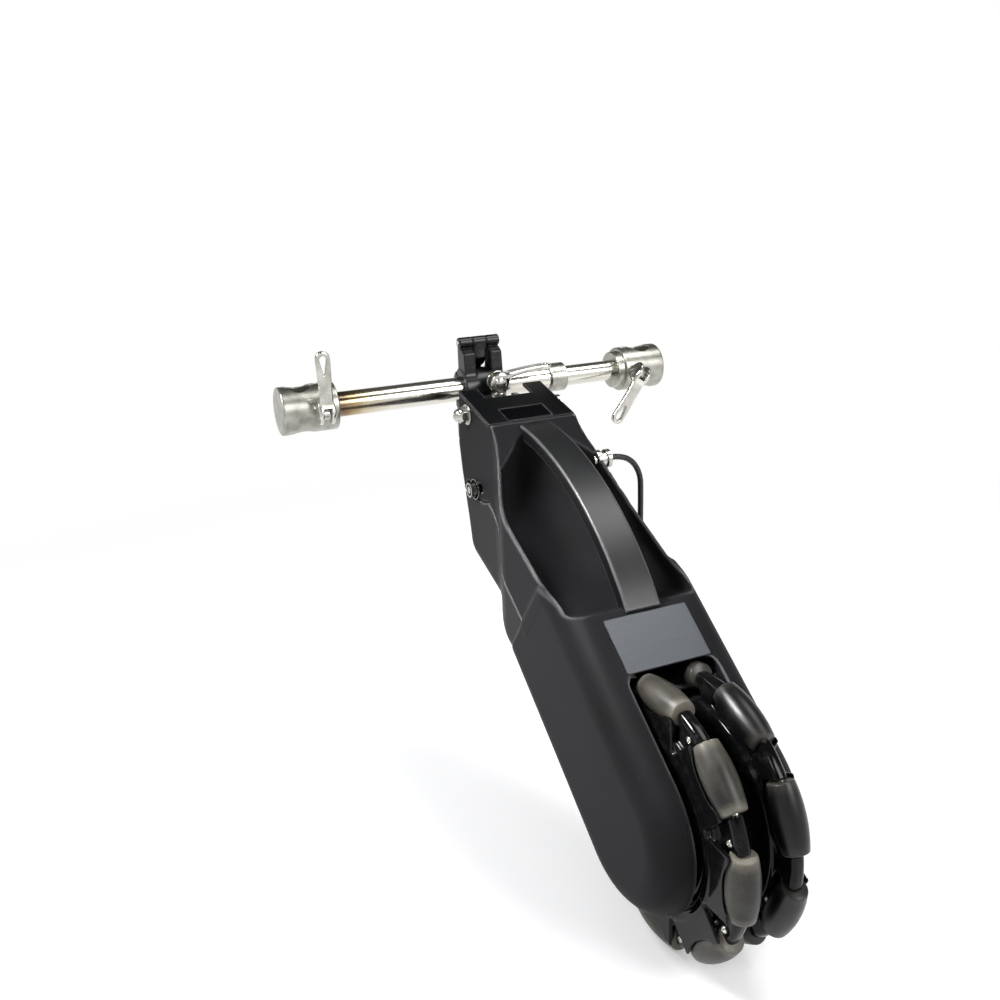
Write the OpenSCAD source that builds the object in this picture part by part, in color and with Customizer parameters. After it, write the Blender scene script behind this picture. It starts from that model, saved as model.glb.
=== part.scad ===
// Wheelchair power assist: a telescopic crossbar that clamps between the two frame tubes of a chair,
// and a drive unit with an omnidirectional hub-motor wheel that hangs from the crossbar.
// Origin: centre of the left end clamp's bore. X runs along the crossbar to the right end,
// Y points forward, away from the drive wheel, and Z points up. Millimetres.

/* [Crossbar] */
// Distance between the axes of the two frame tubes
bar_span = 340; // [325:1:370]
// Outside diameter of the outer tube
bar_d = 22; // [20:0.5:24]
// Wall of both tubes of the crossbar
tube_wall = 1.4; // [1:0.1:2]
// Outside diameter of the locking collar
collar_d = 27; // [26:0.5:30]
// Length of the locking collar
collar_l = 17; // [12:1:24]
// Diameter of the chair's frame tube
frame_tube_d = 22.2; // [19:0.1:25.4]
// Outside diameter of the end clamps
clamp_d = 42; // [38:1:48]

/* [Cam levers] */
// Length of a lever from its pin to its tip
lever_l = 54; // [46:1:60]
// Width of a lever
lever_w = 13; // [12:0.5:15]
// Thickness of a lever's arm
lever_t = 5; // [4:0.5:6]
// Diameter of a lever's cam head
cam_d = 18; // [16:0.5:20]

/* [Bar clamp] */
// Width of the clamp along the bar
grip_w = 39; // [36:1:44]
// Wall of the clamp's ring round the bar
grip_wall = 7; // [6:0.5:8]
// Height of the jaw's hinge above the bar's axis
hinge_h = 42; // [41:0.5:45]
// Diameter of the hinge knuckles
knuckle_d = 10; // [9:0.5:11]
// Diameter of the clamp's stud
stud_d = 6; // [5:0.5:6]

/* [Housing] */
// Width of the nose that carries the pivot
nose_w = 80; // [78:1:86]
// Width of the body behind the nose
body_w = 114; // [108:1:118]
// Width over the two wheel pods
pod_w = 120; // [116:1:128]
// Thickness of the pods across the slope
pod_h = 128; // [124:1:132]
// Edge radius of the pods
pod_round = 26; // [22:1:26]
// Slope of the body's back
slope_deg = 37; // [36:0.25:38]
// Wall of the shells
wall = 3.5; // [3:0.1:4]
// Width of the carry handle
handle_w = 29; // [22:1:32]
// Thickness of the carry handle
handle_t = 12; // [10:0.5:13]
// Width of the bare label plate
label_w = 67; // [60:1:68]
// Length of the bare label plate
label_l = 38; // [30:1:38]

/* [Wheel] */
// Distance of the wheel's axle behind the bar
axle_back = 348; // [344:1:352]
// Distance of the wheel's axle below the bar
axle_drop = 238; // [234:1:242]
// Outside diameter of the wheel over its rollers
wheel_d = 200; // [196:1:202]
// Largest diameter of a roller
roller_d = 23; // [21:0.5:24]
// Length of a roller
roller_l = 46; // [42:1:48]
// Distance between the two rows of rollers
row_gap = 39; // [38:0.5:41]
// Wall of a rim between the motor and its rollers
rim_wall = 16; // [14:0.5:18]
// Width of the bridges that carry the rollers
arm_w = 11; // [10:0.5:13]

/* [Cable] */
// Diameter of the control cable
cord_d = 5; // [4:0.5:5]

/* [Hidden] */
$fn = 72;
seat = 0.02;
run = 0.05;
gap = 0.3;
eps = 1;

mid = bar_span / 2;
bar_r = bar_d / 2;
inner_r = bar_r - tube_wall - run;
frame_r = frame_tube_d / 2;
clamp_r = clamp_d / 2;
cam_r = cam_d / 2;
pin_r = 2.4;
eye_r = 5;
eye_w = 6;
fork = eye_w + 0.8;

// End clamp: the skewer passes just inside the bore, the socket for the tube lies beyond it
slit = 2;
skewer_r = 2.5;
skewer_x = frame_r + 1.9 + skewer_r;
clamp_out = frame_r + 6.9;
clamp_in = skewer_x + 15.5;
socket = 6;
step_l = 7;
step_r = clamp_r - 3.5;
lever_y = -(clamp_r + gap + cam_r);
right_lever_deg = 215;

// Crossbar tubes
outer_end = mid + 86;
inner_start = mid + 20;

// Bar clamp, about the bar's axis
grip_r = bar_r + grip_wall;
knuckle_r = knuckle_d / 2;
knuckle_w = grip_w / 3;
hinge_pin_r = 2.45;
stud_r = stud_d / 2;
stud_x = 5;
stud_y = -31;
lip_top = -6;
lip_t = 6;
tail_r = 24 + hinge_h;
tail_t = 6;
barrel_r = 4.5;
barrel_z = hinge_h - sqrt(pow(tail_r + tail_t + gap + barrel_r, 2) - stud_y * stud_y);
washer_t = 2.85;
cam_z = lip_top + 2 * washer_t + gap + cam_r;
lever_rise = 6;

// Pivot of the drive unit on the bracket, and the travel limit
pivot_y = -66;
pivot_z = -8;
pivot_r = 4;
limit_y = -78;
limit_z = -72;
limit_arm = norm([limit_y - pivot_y, limit_z - pivot_z]);
limit_deg = atan2(limit_z - pivot_z, limit_y - pivot_y);
pitch_up = 14;
pitch_down = 8;
plate_in = 24;
plate_out = 30;

// Housing
axle_y = -axle_back;
axle_z = -axle_drop;
nose_in = nose_w / 2 - 6;
plate_t = 3;
pod_end = 172;
crown = pod_h / 2;
well_side = 36;
well_r = wheel_d / 2 + 4;
belly_round = 24;
label_gap = 2;
label_start = sqrt(pow(well_r, 2) - pow(crown, 2)) + label_gap;
label_end = label_start + label_l;
foot = label_end + 3;

// Wheel
wheel_r = wheel_d / 2;
roller_r = roller_d / 2;
roller_path = wheel_r - roller_r;
rows = 8;
pitch = 360 / rows;
wheel_turn = -1.5;
row_x = row_gap / 2;
roller_pin_r = 2.5;
roller_pin_l = roller_l + 7;
rim_w = 17;
rim_out = wheel_r - 5;
pocket_r = roller_path - roller_r - 1;
rim_in = pocket_r - rim_wall;
flange_r = pocket_r - 2;
flange_t = 3;
hub_x = row_x + rim_w / 2;
arm_x = row_x + arm_w / 2;
roller_gap = 0.8;
end_r = sqrt(pow(wheel_r, 2) - pow(roller_l / 2, 2)) - roller_path;
axle_r = 8;
axle_end = well_side + 18;
bearing_r = 16;
bearing_w = 5;
can_wall = 6;
magnet_t = 3.5;
air_gap = 0.6;

// Point of the side view given along and across the body's slope from the axle
function sn(s, n) = [axle_y + s * cos(slope_deg) - n * sin(slope_deg),
                     axle_z + s * sin(slope_deg) + n * cos(slope_deg)];
function seam_n(s) = -11 - 6 * (s - 160) / 82;
function plate_z(y) = 9 + (y + 46) * 17 / 67;
function polar(r, a) = [r * cos(a), r * sin(a)];

// Circle through three points, used for the handle's arch
function centre(a, b, c) =
    let (d = 2 * (a[0] * (b[1] - c[1]) + b[0] * (c[1] - a[1]) + c[0] * (a[1] - b[1])))
    [((a * a) * (b[1] - c[1]) + (b * b) * (c[1] - a[1]) + (c * c) * (a[1] - b[1])) / d,
     ((a * a) * (c[0] - b[0]) + (b * b) * (a[0] - c[0]) + (c * c) * (b[0] - a[0])) / d];
handle_low = sn(foot, crown + 2.5);
handle_top = sn(215, crown + 13);
handle_end = [-114.5, -10];
handle_c = centre(handle_low, handle_top, handle_end);
handle_r = norm(handle_low - handle_c);

rim_line = [[-114, plate_z(-114)], [-137, -32], [-162, -62], [-175, -72], [-207, -87], sn(171, 42)];
upper_side = concat([[-46, plate_z(-46) - plate_t], [-111, plate_z(-111) - plate_t], [-111, plate_z(-111)]],
    rim_line, [sn(160, 42), sn(160, seam_n(160)), sn(242, seam_n(242)), [-104, -77], [-92, -80], [-51, -80],
    [-46, -63], [-41, -38], [-42, -30]]);
belly_back = sn(pod_end, -crown);
belly_front = [-75, -149];
belly_deg = atan2(belly_front[1] - belly_back[1], belly_front[0] - belly_back[0]);
belly_side = [belly_back, sn(pod_end, seam_n(pod_end)), sn(242, seam_n(242)), [-104, -77], [-92, -80],
    [-51, -80], [-58, -104], [-66, -138], belly_front];
cavity_side = [sn(-80, 80), sn(foot - 15, 80), sn(foot - 9, 58), sn(foot - 4, 48), sn(foot + 15, 26),
    sn(188, 6),
    sn(250, 2), sn(286, 6), [-108.5, -64], [-108.5, -99.5], [-62, -99.5], [-70, -134], [-78, -145],
        [-100, -170],
    sn(176, -90), sn(-80, -90)];
bowl_side = [sn(foot + 5, 72), sn(foot + 25, 32), sn(190, 13), sn(250, 9), sn(290, 15), sn(312, 40),
    sn(330, 120),
    sn(foot + 5, 120)];
rim_cut = [sn(190, 33.5), sn(171, 42), sn(foot + 9, crown + 0.2), sn(foot + 9, 120), sn(190, 120)];
flare = [[30, 0], [-116, 0], [-124, 0.06], [-137, 0.3], [-150, 0.7], [-162, 0.94], [-172, 1], [-430, 1]];
bowl_plan = [[-100, 20], [-120, 20], [-130, 24], [-148, 36], [-168, 48], [-180, 52], [-330, 52]];

gland_y = -137;
gland_z = -44;
gland_r = 6;
gland_x = mid + nose_w / 2 + 0.3 * (body_w - nose_w) / 2;

// Control cable: out of the gland, down under its own weight, along the floor into a coil of 2 layers
floor_z = axle_z - wheel_r;
tie_t = 0.8;
lie_z = floor_z + tie_t + 0.5 + cord_d / 2;
coil_x = 226;
coil_y = -200;
coil_r = 34;
coil_step = cord_d + 0.6;
coil_turns = 5;
coil_rings = 24;
plug_run = 32;
lead_points = [[gland_x + 14, gland_y, gland_z], [236, -137, -44], [246, -137, -47], [254, -137, -54],
    [259, -137, -65], [260, -137, -80], [260, -137, -120], [260, -137, -160], [260, -137, -200],
    [260, -137, -240], [260, -137, -280], [260, -137, -300], [260, -139, -314], [260, -145, -325],
    [260, -154, -332], [260, -165, lie_z], [260, -180, lie_z], [260, -195, lie_z]];
function spline(p, i, t) =
    let (a = p[max(i - 1, 0)], b = p[i], c = p[i + 1], d = p[min(i + 2, len(p) - 1)])
    0.5 * (2 * b + (c - a) * t + (2 * a - 5 * b + 4 * c - d) * t * t + (3 * b - a - 3 * c + d) * t * t * t);
lead_path = concat([for (i = [0:len(lead_points) - 2]) for (j = [0:2]) spline(lead_points, i, j / 3)],
    [lead_points[len(lead_points) - 1]]);
coil_half = coil_turns * 180;
function coil_point(a) =
    let (from = abs(a - coil_half), r = coil_r - coil_step * (coil_half - from) / 360)
    let (rise = min(max((a - coil_half + 90) / 180, 0), 1))
    [coil_x + r * cos(a), coil_y - r * sin(a), lie_z + rise * coil_step];
coil_path = concat([[coil_x + coil_r, coil_y + cord_d, lie_z]],
    [for (i = [0:coil_turns * coil_rings]) coil_point(i * 360 / coil_rings)],
    [[coil_x + coil_r, coil_y - plug_run / 2, lie_z + coil_step],
     [coil_x + coil_r, coil_y - plug_run, lie_z + coil_step]]);
coil_gap = min([for (i = [0:coil_turns * coil_rings]) for (j = [i + coil_rings / 2:1:coil_turns *
    coil_rings])
    norm(coil_path[i] - coil_path[j])]) - cord_d;
echo(coil_gap = coil_gap);

function tube_points(path, ref, sides) = [for (i = [0:len(path) - 1])
    let (t = path[min(i + 1, len(path) - 1)] - path[max(i - 1, 0)])
    let (u = cross(t, ref) / norm(cross(t, ref)), w = cross(t / norm(t), u))
    for (k = [0:sides - 1]) path[i] + cord_d / 2 * (cos(k * 360 / sides) * u + sin(k * 360 / sides) * w)];
function tube_faces(rings, sides) = concat(
    [for (k = [1:sides - 2]) [0, k, k + 1]],
    [for (k = [1:sides - 2]) (rings - 1) * sides * [1, 1, 1] + [0, k + 1, k]],
    [for (i = [0:rings - 2]) for (k = [0:sides - 1])
        [i * sides + k, (i + 1) * sides + k, (i + 1) * sides + (k + 1) % sides]],
    [for (i = [0:rings - 2]) for (k = [0:sides - 1])
        [i * sides + k, (i + 1) * sides + (k + 1) % sides, i * sides + (k + 1) % sides]]);
module tube(path, ref, sides) polyhedron(tube_points(path, ref, sides), tube_faces(len(path), sides));

module along_x(x0, x1, r) translate([x0, 0, 0]) rotate([0, 90, 0]) cylinder(h = x1 - x0, r = r);
module along_y(y0, y1, r) translate([0, y0, 0]) rotate([-90, 0, 0]) cylinder(h = y1 - y0, r = r);
module ring_x(x0, x1, r1, r2) difference() {
    along_x(x0, x1, r2);
    along_x(x0 - eps, x1 + eps, r1);
}
module side(x0, x1) translate([x0, 0, 0]) rotate([90, 0, 90]) linear_extrude(x1 - x0) children();
module slope() translate([mid, axle_y, axle_z]) rotate([slope_deg, 0, 0]) children();
module at_axle() translate([mid, axle_y, axle_z]) children();
module at_hinge() translate([mid, 0, hinge_h]) children();
module at_pivot() translate([mid, pivot_y, pivot_z]) children();
module block(x0, x1, y0, y1, z0, z1) translate([x0, y0, z0]) cube([x1 - x0, y1 - y0, z1 - z0]);

// Cam lever about its pin along X, with the arm along Z and the cam bearing towards +Y
module lever() difference() {
    union() {
        along_x(-lever_w / 2, lever_w / 2, cam_r);
        translate([0, -1.5, 0]) rotate([90, 0, 0]) linear_extrude(lever_t) {
            translate([-lever_w / 2, 0]) square([lever_w, lever_l - lever_w / 2]);
            translate([0, lever_l - lever_w / 2]) circle(lever_w / 2);
        }
    }
    block(-fork / 2, fork / 2, -cam_r - eps, cam_r + eps, -cam_r - eps, eye_r + 0.6);
    along_x(-lever_w, lever_w, pin_r + seat);
    translate([0, 0, lever_l - 14]) rotate([90, 0, 0]) translate([0, 0, -eps]) linear_extrude(lever_t + 9) {
        circle(2.6);
        translate([-2.6, 0]) square([5.2, 6]);
        translate([0, 6]) circle(2.6);
    }
}

// Rod with an eye for the lever's pin, along Y from the lever to a nut at the front
module skewer_rod() difference() {
    union() {
        along_y(lever_y, clamp_r + 8, skewer_r);
        translate([0, lever_y, 0]) along_x(-eye_w / 2, eye_w / 2, eye_r);
    }
    translate([0, lever_y, 0]) along_x(-eye_w, eye_w, pin_r + run);
}
module skewer_nut() difference() {
    along_y(clamp_r, clamp_r + 6, 6);
    along_y(clamp_r - eps, clamp_r + 7, skewer_r + seat);
}

// Split clamp with an upright bore at the origin and the bar's tube towards +X
module end_clamp(tube_r, stepped) difference() {
    union() {
        along_x(-clamp_out, clamp_in - stepped * step_l, clamp_r);
        along_x(0, clamp_in, step_r);
    }
    translate([0, 0, -clamp_r - eps]) cylinder(h = clamp_d + 2 * eps, r = frame_r);
    block(0, skewer_x + 4.5 + slit, -slit / 2, slit / 2, -clamp_d, clamp_d);
    block(skewer_x + 4.5, skewer_x + 4.5 + slit, -slit / 2, clamp_d, -clamp_d, clamp_d);
    translate([skewer_x, 0, 0]) along_y(-clamp_d, clamp_d, skewer_r + seat);
    along_x(clamp_in - socket, clamp_in + eps, tube_r + seat);
}

module outer_tube() color("silver") ring_x(clamp_in - socket, outer_end, bar_r - tube_wall, bar_r);
module inner_tube() color("gainsboro") ring_x(inner_start, bar_span - clamp_in + socket,
    inner_r - tube_wall, inner_r);
module lock_collar() color("silver") ring_x(outer_end - collar_l, outer_end, bar_r + seat, collar_d / 2);
module left_clamp() color("silver") {
    difference() {
        union() {
            end_clamp(bar_r, 0);
            translate([clamp_in - 0.5, 0, 0]) rotate([0, 90, 0]) rotate_extrude() translate([bar_r +
                0.6, 0]) circle(2.2);
        }
        along_x(clamp_in - socket, clamp_in + 9, bar_r + seat);
    }
}
module left_skewer() color("silver") translate([skewer_x, 0, 0]) {
    skewer_rod();
    skewer_nut();
}
module lever_and_pin() {
    lever();
    along_x(-lever_w / 2 - 1, lever_w / 2 + 1, pin_r);
}
module left_lever() color("silver") translate([skewer_x, lever_y, 0]) lever_and_pin();
module right_clamp() color("silver") translate([bar_span, 0, 0]) mirror([1, 0, 0]) end_clamp(inner_r, 1);
module right_skewer() color("silver") translate([bar_span - skewer_x, 0, 0]) rotate([0, right_lever_deg,
    0]) {
    skewer_rod();
    skewer_nut();
}
module right_lever() color("silver") translate([bar_span - skewer_x, lever_y, 0])
    rotate([0, right_lever_deg, 0]) lever_and_pin();

// Fixed half of the bar clamp: a ring over and behind the bar, two legs up to the hinge, and a channel
// whose two side plates reach back to the pivot and down to the travel limit
module clamp_bracket() color("#26282a") translate([mid, 0, 0]) difference() {
    union() {
        difference() {
            ring_x(-grip_w / 2, grip_w / 2, bar_r + seat, grip_r);
            side(-grip_w, grip_w) polygon([[0, 0], polar(90, 62), [80, 0], [80, -80], [-80, -80]]);
        }
        for (m = [0, 1]) mirror([m, 0, 0]) {
            side(knuckle_w / 2 + 0.3, grip_w / 2) polygon([[-grip_r + 2, 6], [-knuckle_r, hinge_h],
                [knuckle_r, hinge_h], [5, grip_r - 2], [0, bar_r + 3], [-bar_r - 2, 4]]);
            translate([0, 0, hinge_h]) along_x(knuckle_w / 2 + 0.3, grip_w / 2, knuckle_r);
            side(plate_in, plate_out) {
                polygon([[-16, lip_top], [-62, lip_top], [-74, -10], [limit_y - 10, limit_z + 2],
                    [limit_y - 2, limit_z - 10], [-70, -81], [-32, -56], [-16, -40]]);
                translate([pivot_y, pivot_z]) circle(pivot_r + 4);
            }
        }
        block(-plate_out, 12, -46, -bar_r - 3, lip_top - lip_t, lip_top);
        block(-plate_out, plate_out, -58, -46, lip_top - lip_t, lip_top);
        block(-plate_out, plate_out, -76, -70, -76, -56);
    }
    translate([0, 0, hinge_h]) along_x(-grip_w, grip_w, hinge_pin_r + seat);
    translate([stud_x, stud_y, -20]) cylinder(h = 20, r = stud_r + seat);
    translate([0, pivot_y, pivot_z]) along_x(-nose_w, nose_w, pivot_r + run);
    translate([0, limit_y, limit_z]) along_x(-nose_w, 0, pivot_r + seat);
}

// Swinging half: hangs from the hinge in front of the bar, passes under it,
// and its forked tail takes the stud
module clamp_jaw() color("#1c1d1f") translate([mid, 0, 0]) difference() {
    union() {
        translate([0, 0, hinge_h]) along_x(-knuckle_w / 2, knuckle_w / 2, knuckle_r);
        side(-knuckle_w / 2, knuckle_w / 2) polygon([[-4.5, hinge_h - 2], [2, hinge_h - 14],
            polar(grip_r + 1.5, 59),
            polar(grip_r - 2, 50), polar(grip_r - 2, 28), [grip_r, hinge_h - 18], [knuckle_r, hinge_h]]);
        intersection() {
            ring_x(-grip_w / 2, grip_w / 2, bar_r + gap, grip_r);
            side(-grip_w, grip_w) polygon([[0, 0], polar(60, 56), [80, 0], [80, -80], [0, -80]]);
        }
        side(stud_x - 13, stud_x + 13) polygon([[-3, -bar_r - 1], [14, -bar_r - 1], [12,
            hinge_h - tail_r - tail_t],
            [0, hinge_h - tail_r - tail_t + 0.1], [-3, hinge_h - tail_r - 2]]);
        translate([0, 0, hinge_h]) intersection() {
            ring_x(stud_x - 13, stud_x + 13, tail_r, tail_r + tail_t);
            block(-grip_w, grip_w, stud_y - stud_r - 1.5, 2, -tail_r - 20, 0);
        }
    }
    along_x(-grip_w, grip_w, bar_r + gap);
    translate([0, 0, hinge_h]) along_x(-grip_w, grip_w, hinge_pin_r + run);
    block(stud_x - stud_r - 0.6, stud_x + stud_r + 0.6, stud_y - 12, stud_y + stud_r + 1, -40, 0);
}
module hinge_pin() color("silver") at_hinge() along_x(-grip_w / 2 - 1, grip_w / 2 + 1, hinge_pin_r);
module at_stud() translate([mid + stud_x, stud_y, 0]) children();
module clamp_stud() color("silver") at_stud() difference() {
    union() {
        translate([0, 0, barrel_z - barrel_r - 1]) cylinder(h = cam_z - barrel_z + barrel_r + 1,
            r = stud_r);
        translate([0, 0, cam_z]) along_y(-eye_w / 2, eye_w / 2, eye_r);
    }
    translate([0, 0, cam_z]) along_y(-eye_w, eye_w, pin_r + run);
}
module barrel_nut() color("silver") at_stud() difference() {
    translate([0, 0, barrel_z]) along_x(-12, 12, barrel_r);
    translate([0, 0, barrel_z - 10]) cylinder(h = 20, r = stud_r + seat);
}
module clamp_washers() color("gainsboro") at_stud() for (i = [0, 1]) translate([0, 0,
    lip_top + i * washer_t])
    difference() {
        cylinder(h = washer_t - run, r = 7.25);
        translate([0, 0, -eps]) cylinder(h = washer_t + 2 * eps, r = stud_r + seat);
    }
module at_cam() translate([mid + stud_x, stud_y, cam_z]) rotate([0, -lever_rise, 0]) rotate([-90, 0, 0])
    rotate([0, 90, 0]) children();
module clamp_lever() color("silver") at_cam() lever();
module clamp_lever_pin() color("gainsboro") at_cam() {
    along_x(-lever_w / 2 - 1, lever_w / 2 + seat, pin_r);
    translate([lever_w / 2 + seat, 0, 0]) rotate([0, 90, 0]) rotate_extrude()
        polygon([[0, 0], [6.6, 0], [5, 1.2], [3, 2.1], [1, 2.5], [0, 2.5]]);
}

// Pivot and travel limit
module pivot_bolt() color("silver") at_pivot() {
    along_x(-nose_w / 2 - 11, nose_w / 2 + 1.5, pivot_r);
    along_x(nose_w / 2 + 1.5, nose_w / 2 + 8, 7);
}
module pivot_nut() color("silver") at_pivot() difference() {
    union() {
        along_x(-nose_w / 2 - 8, -nose_w / 2 - 1.5, 7);
        intersection() {
            translate([-nose_w / 2 - 7, 0, 0]) sphere(r = 6.4);
            along_x(-nose_w / 2 - 14, -nose_w / 2 - 8, 7);
        }
    }
    along_x(-nose_w / 2 - 11, 0, pivot_r + seat);
}
module pivot_washers() color("silver") at_pivot() for (m = [0, 1]) mirror([m, 0, 0])
    ring_x(nose_w / 2, nose_w / 2 + 1.5, pivot_r + seat, 9);
module limit_bolt() color("#3a3c40") translate([mid, limit_y, limit_z]) {
    along_x(-nose_w / 2 - gap - 2, -plate_in, pivot_r);
    along_x(-nose_w / 2 - gap - 6.5, -nose_w / 2 - gap - 1.5 - seat, 6.5);
    ring_x(-nose_w / 2 - gap - 1.5, -nose_w / 2 - gap, pivot_r + seat, 9);
}

// Outline of the body from above, drawn in by the given amount
module plan(inset) translate([mid, 0, axle_z - 120]) linear_extrude(axle_drop + 200) polygon(concat(
    [for (p = flare) [-nose_w / 2 - p[1] * (body_w - nose_w) / 2 + inset, p[0]]],
    [for (i = [len(flare) - 1:-1:0]) [nose_w / 2 + flare[i][1] * (body_w - nose_w) / 2 - inset,
        flare[i][0]]]));

// Square with rounded corners of the pods, seen along the slope
module pod_section(hw, hh, c) {
    translate([-hw, -hh + c]) square([2 * hw, 2 * (hh - c)]);
    translate([-hw + c, -hh]) square([2 * (hw - c), 2 * hh]);
    for (i = [-1, 1]) for (j = [-1, 1]) translate([i * (hw - c), j * (hh - c)]) circle(c);
}
module pod_form(inset, s_end) {
    hw = pod_w / 2 - inset;
    hh = pod_h / 2 - inset;
    c = pod_round - inset;
    rotate([0, 90, 0]) rotate_extrude() intersection() {
        pod_section(hh, hw, c);
        translate([0, -hw]) square([hh, 2 * hw]);
    }
    translate([0, s_end, 0]) rotate([90, 0, 0]) linear_extrude(s_end) pod_section(hw, hh, c);
}

// Space above the belly's floor, with rounded lower edges, drawn in by the given amount
module belly_form(inset) translate([mid, belly_back[0], belly_back[1]]) rotate([belly_deg, 0, 0])
    translate([0, 220, 0]) rotate([90, 0, 0]) linear_extrude(330) {
        hw = body_w / 2 - inset;
        c = belly_round - inset;
        translate([-hw, belly_round]) square([2 * hw, 300]);
        translate([-hw + c, inset]) square([2 * (hw - c), 300]);
        for (i = [-1, 1]) translate([i * (hw - c), belly_round]) circle(c);
    }

module cavity() difference() {
    intersection() {
        side(0, bar_span) polygon(cavity_side);
        union() {
            slope() pod_form(wall, pod_end - wall);
            intersection() {
                plan(wall);
                belly_form(wall);
                slope() block(-100, 100, 155, 400, -200, 200);
            }
        }
    }
    at_axle() along_x(-well_side - 4, well_side + 4, well_r + wall);
    at_axle() along_x(-pod_w, pod_w, axle_r + 6);
}
module nose_space() side(mid - nose_in, mid + nose_in) polygon([[0, 40], [-105, 40], [-105, -96], [0,
    -96]]);
module bowl() intersection() {
    slope() translate([0, 360, 91]) rotate([90, 0, 0]) cylinder(h = 260, r = 82);
    side(0, bar_span) polygon(bowl_side);
    translate([mid, 0, -300]) linear_extrude(400) polygon(concat([for (p = bowl_plan) [-p[1], p[0]]],
        [for (i = [len(bowl_plan) - 1:-1:0]) [bowl_plan[i][1], bowl_plan[i][0]]]));
}
module limit_slot() translate([0, pivot_y, pivot_z]) {
    side(mid - nose_w, mid) {
        intersection() {
            difference() {
                circle(limit_arm + pivot_r + 0.4);
                circle(limit_arm - pivot_r - 0.4);
            }
            polygon([[0, 0], polar(150, limit_deg - pitch_down - 1), polar(150, limit_deg + pitch_up + 1)]);
        }
        for (a = [-pitch_down - 1, pitch_up + 1]) translate(polar(limit_arm,
            limit_deg + a)) circle(pivot_r + 0.25);
    }
}
module handle_form(grow) intersection() {
    translate([0, handle_c[0], handle_c[1]])
        ring_x(mid - handle_w / 2 - grow, mid + handle_w / 2 + grow, handle_r - handle_t - grow,
            handle_r + grow);
    side(0, bar_span) polygon([sn(foot - grow, 46), sn(foot - grow, 120), [handle_end[0] + grow, 60],
        [handle_end[0] + grow, -40]]);
}

module upper_shell() color("#4a4c50") difference() {
    union() {
        intersection() {
            side(0, bar_span) polygon(upper_side);
            plan(0);
        }
        difference() {
            slope() pod_form(0, pod_end);
            side(0, bar_span) polygon(rim_cut);
        }
    }
    bowl();
    cavity();
    nose_space();
    at_axle() along_x(-well_side, well_side, well_r);
    at_axle() along_x(-axle_end, axle_end, axle_r + seat);
    at_pivot() along_x(-nose_w, nose_w, pivot_r + seat);
    limit_slot();
    handle_form(seat);
    translate([0, gland_y, gland_z]) along_x(gland_x - 12, gland_x + 30, gland_r + seat);
}
module belly_shell() color("#3c3e42") difference() {
    intersection() {
        side(0, bar_span) polygon(belly_side);
        plan(0);
        belly_form(0);
    }
    cavity();
    nose_space();
}
module top_plate() color("#1f2023") difference() {
    side(mid - nose_w / 2, mid + nose_w / 2) polygon([[-46, plate_z(-46)], [-46, plate_z(-46) - plate_t],
        [-111, plate_z(-111) - plate_t], [-111, plate_z(-111)]]);
    block(mid - 22, mid + 22, -65, 0, -40, 40);
    window_form();
}
module window_form() side(mid - 20, mid + 20) polygon([[-88, plate_z(-88) + 0.01], [-108,
    plate_z(-108) + 0.01],
    [-108, plate_z(-108) - 1.5], [-88, plate_z(-88) - 1.5]]);
module window() color("#0c0c0e") window_form();
module carry_handle() color("#2a2b2e") handle_form(0);
module label_plate() color("gainsboro") slope() block(-label_w / 2, label_w / 2, label_start, label_end,
    crown,
    crown + 1.2);

// Power and control inside the body
battery_w = 2 * (pod_w / 2 - pod_round) - 2;
module battery_pack() color("#30405c") slope() block(-battery_w / 2, battery_w / 2, well_r + wall + 4,
    pod_end - wall - 2, -crown + wall + seat, -3);
module controller() color("#2c5a3c") translate([mid, belly_back[0], belly_back[1]]) rotate([belly_deg,
    0, 0])
    block(-30, 30, 58, 94, wall, wall + 24);
module cord_gland() color("silver") translate([0, gland_y, gland_z]) difference() {
    union() {
        along_x(gland_x - 12, gland_x + 12, gland_r);
        along_x(gland_x + 9, gland_x + 14, gland_r + 2);
    }
    along_x(gland_x - 13, gland_x + 10, cord_d / 2);
}

module cord_lead() color("#17181a") tube(lead_path, [1, -1, 1], 8);
module cord_coil() color("#17181a") tube(coil_path, [0, 0, 1], 6);
module cord_tie() color("#202124") difference() {
    block(coil_x - coil_r - 0.9, coil_x - coil_r + 17.7, coil_y - 4, coil_y + 4, floor_z + 0.1,
        lie_z + coil_step + cord_d / 2 + 0.4 + tie_t);
    block(coil_x - coil_r - 0.1, coil_x - coil_r + 16.9, coil_y - 5, coil_y + 5, floor_z + 0.1 + tie_t,
        lie_z + coil_step + cord_d / 2 + 0.4);
}
plug_r = lie_z + coil_step - floor_z;
module cord_plug() color("#202124") translate([coil_x + coil_r, coil_y - plug_run, lie_z + coil_step]) {
    along_y(-14, 0, plug_r - 2.5);
    along_y(-34, -14, plug_r);
    along_y(-44, -34, plug_r - 1.5);
}

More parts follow.
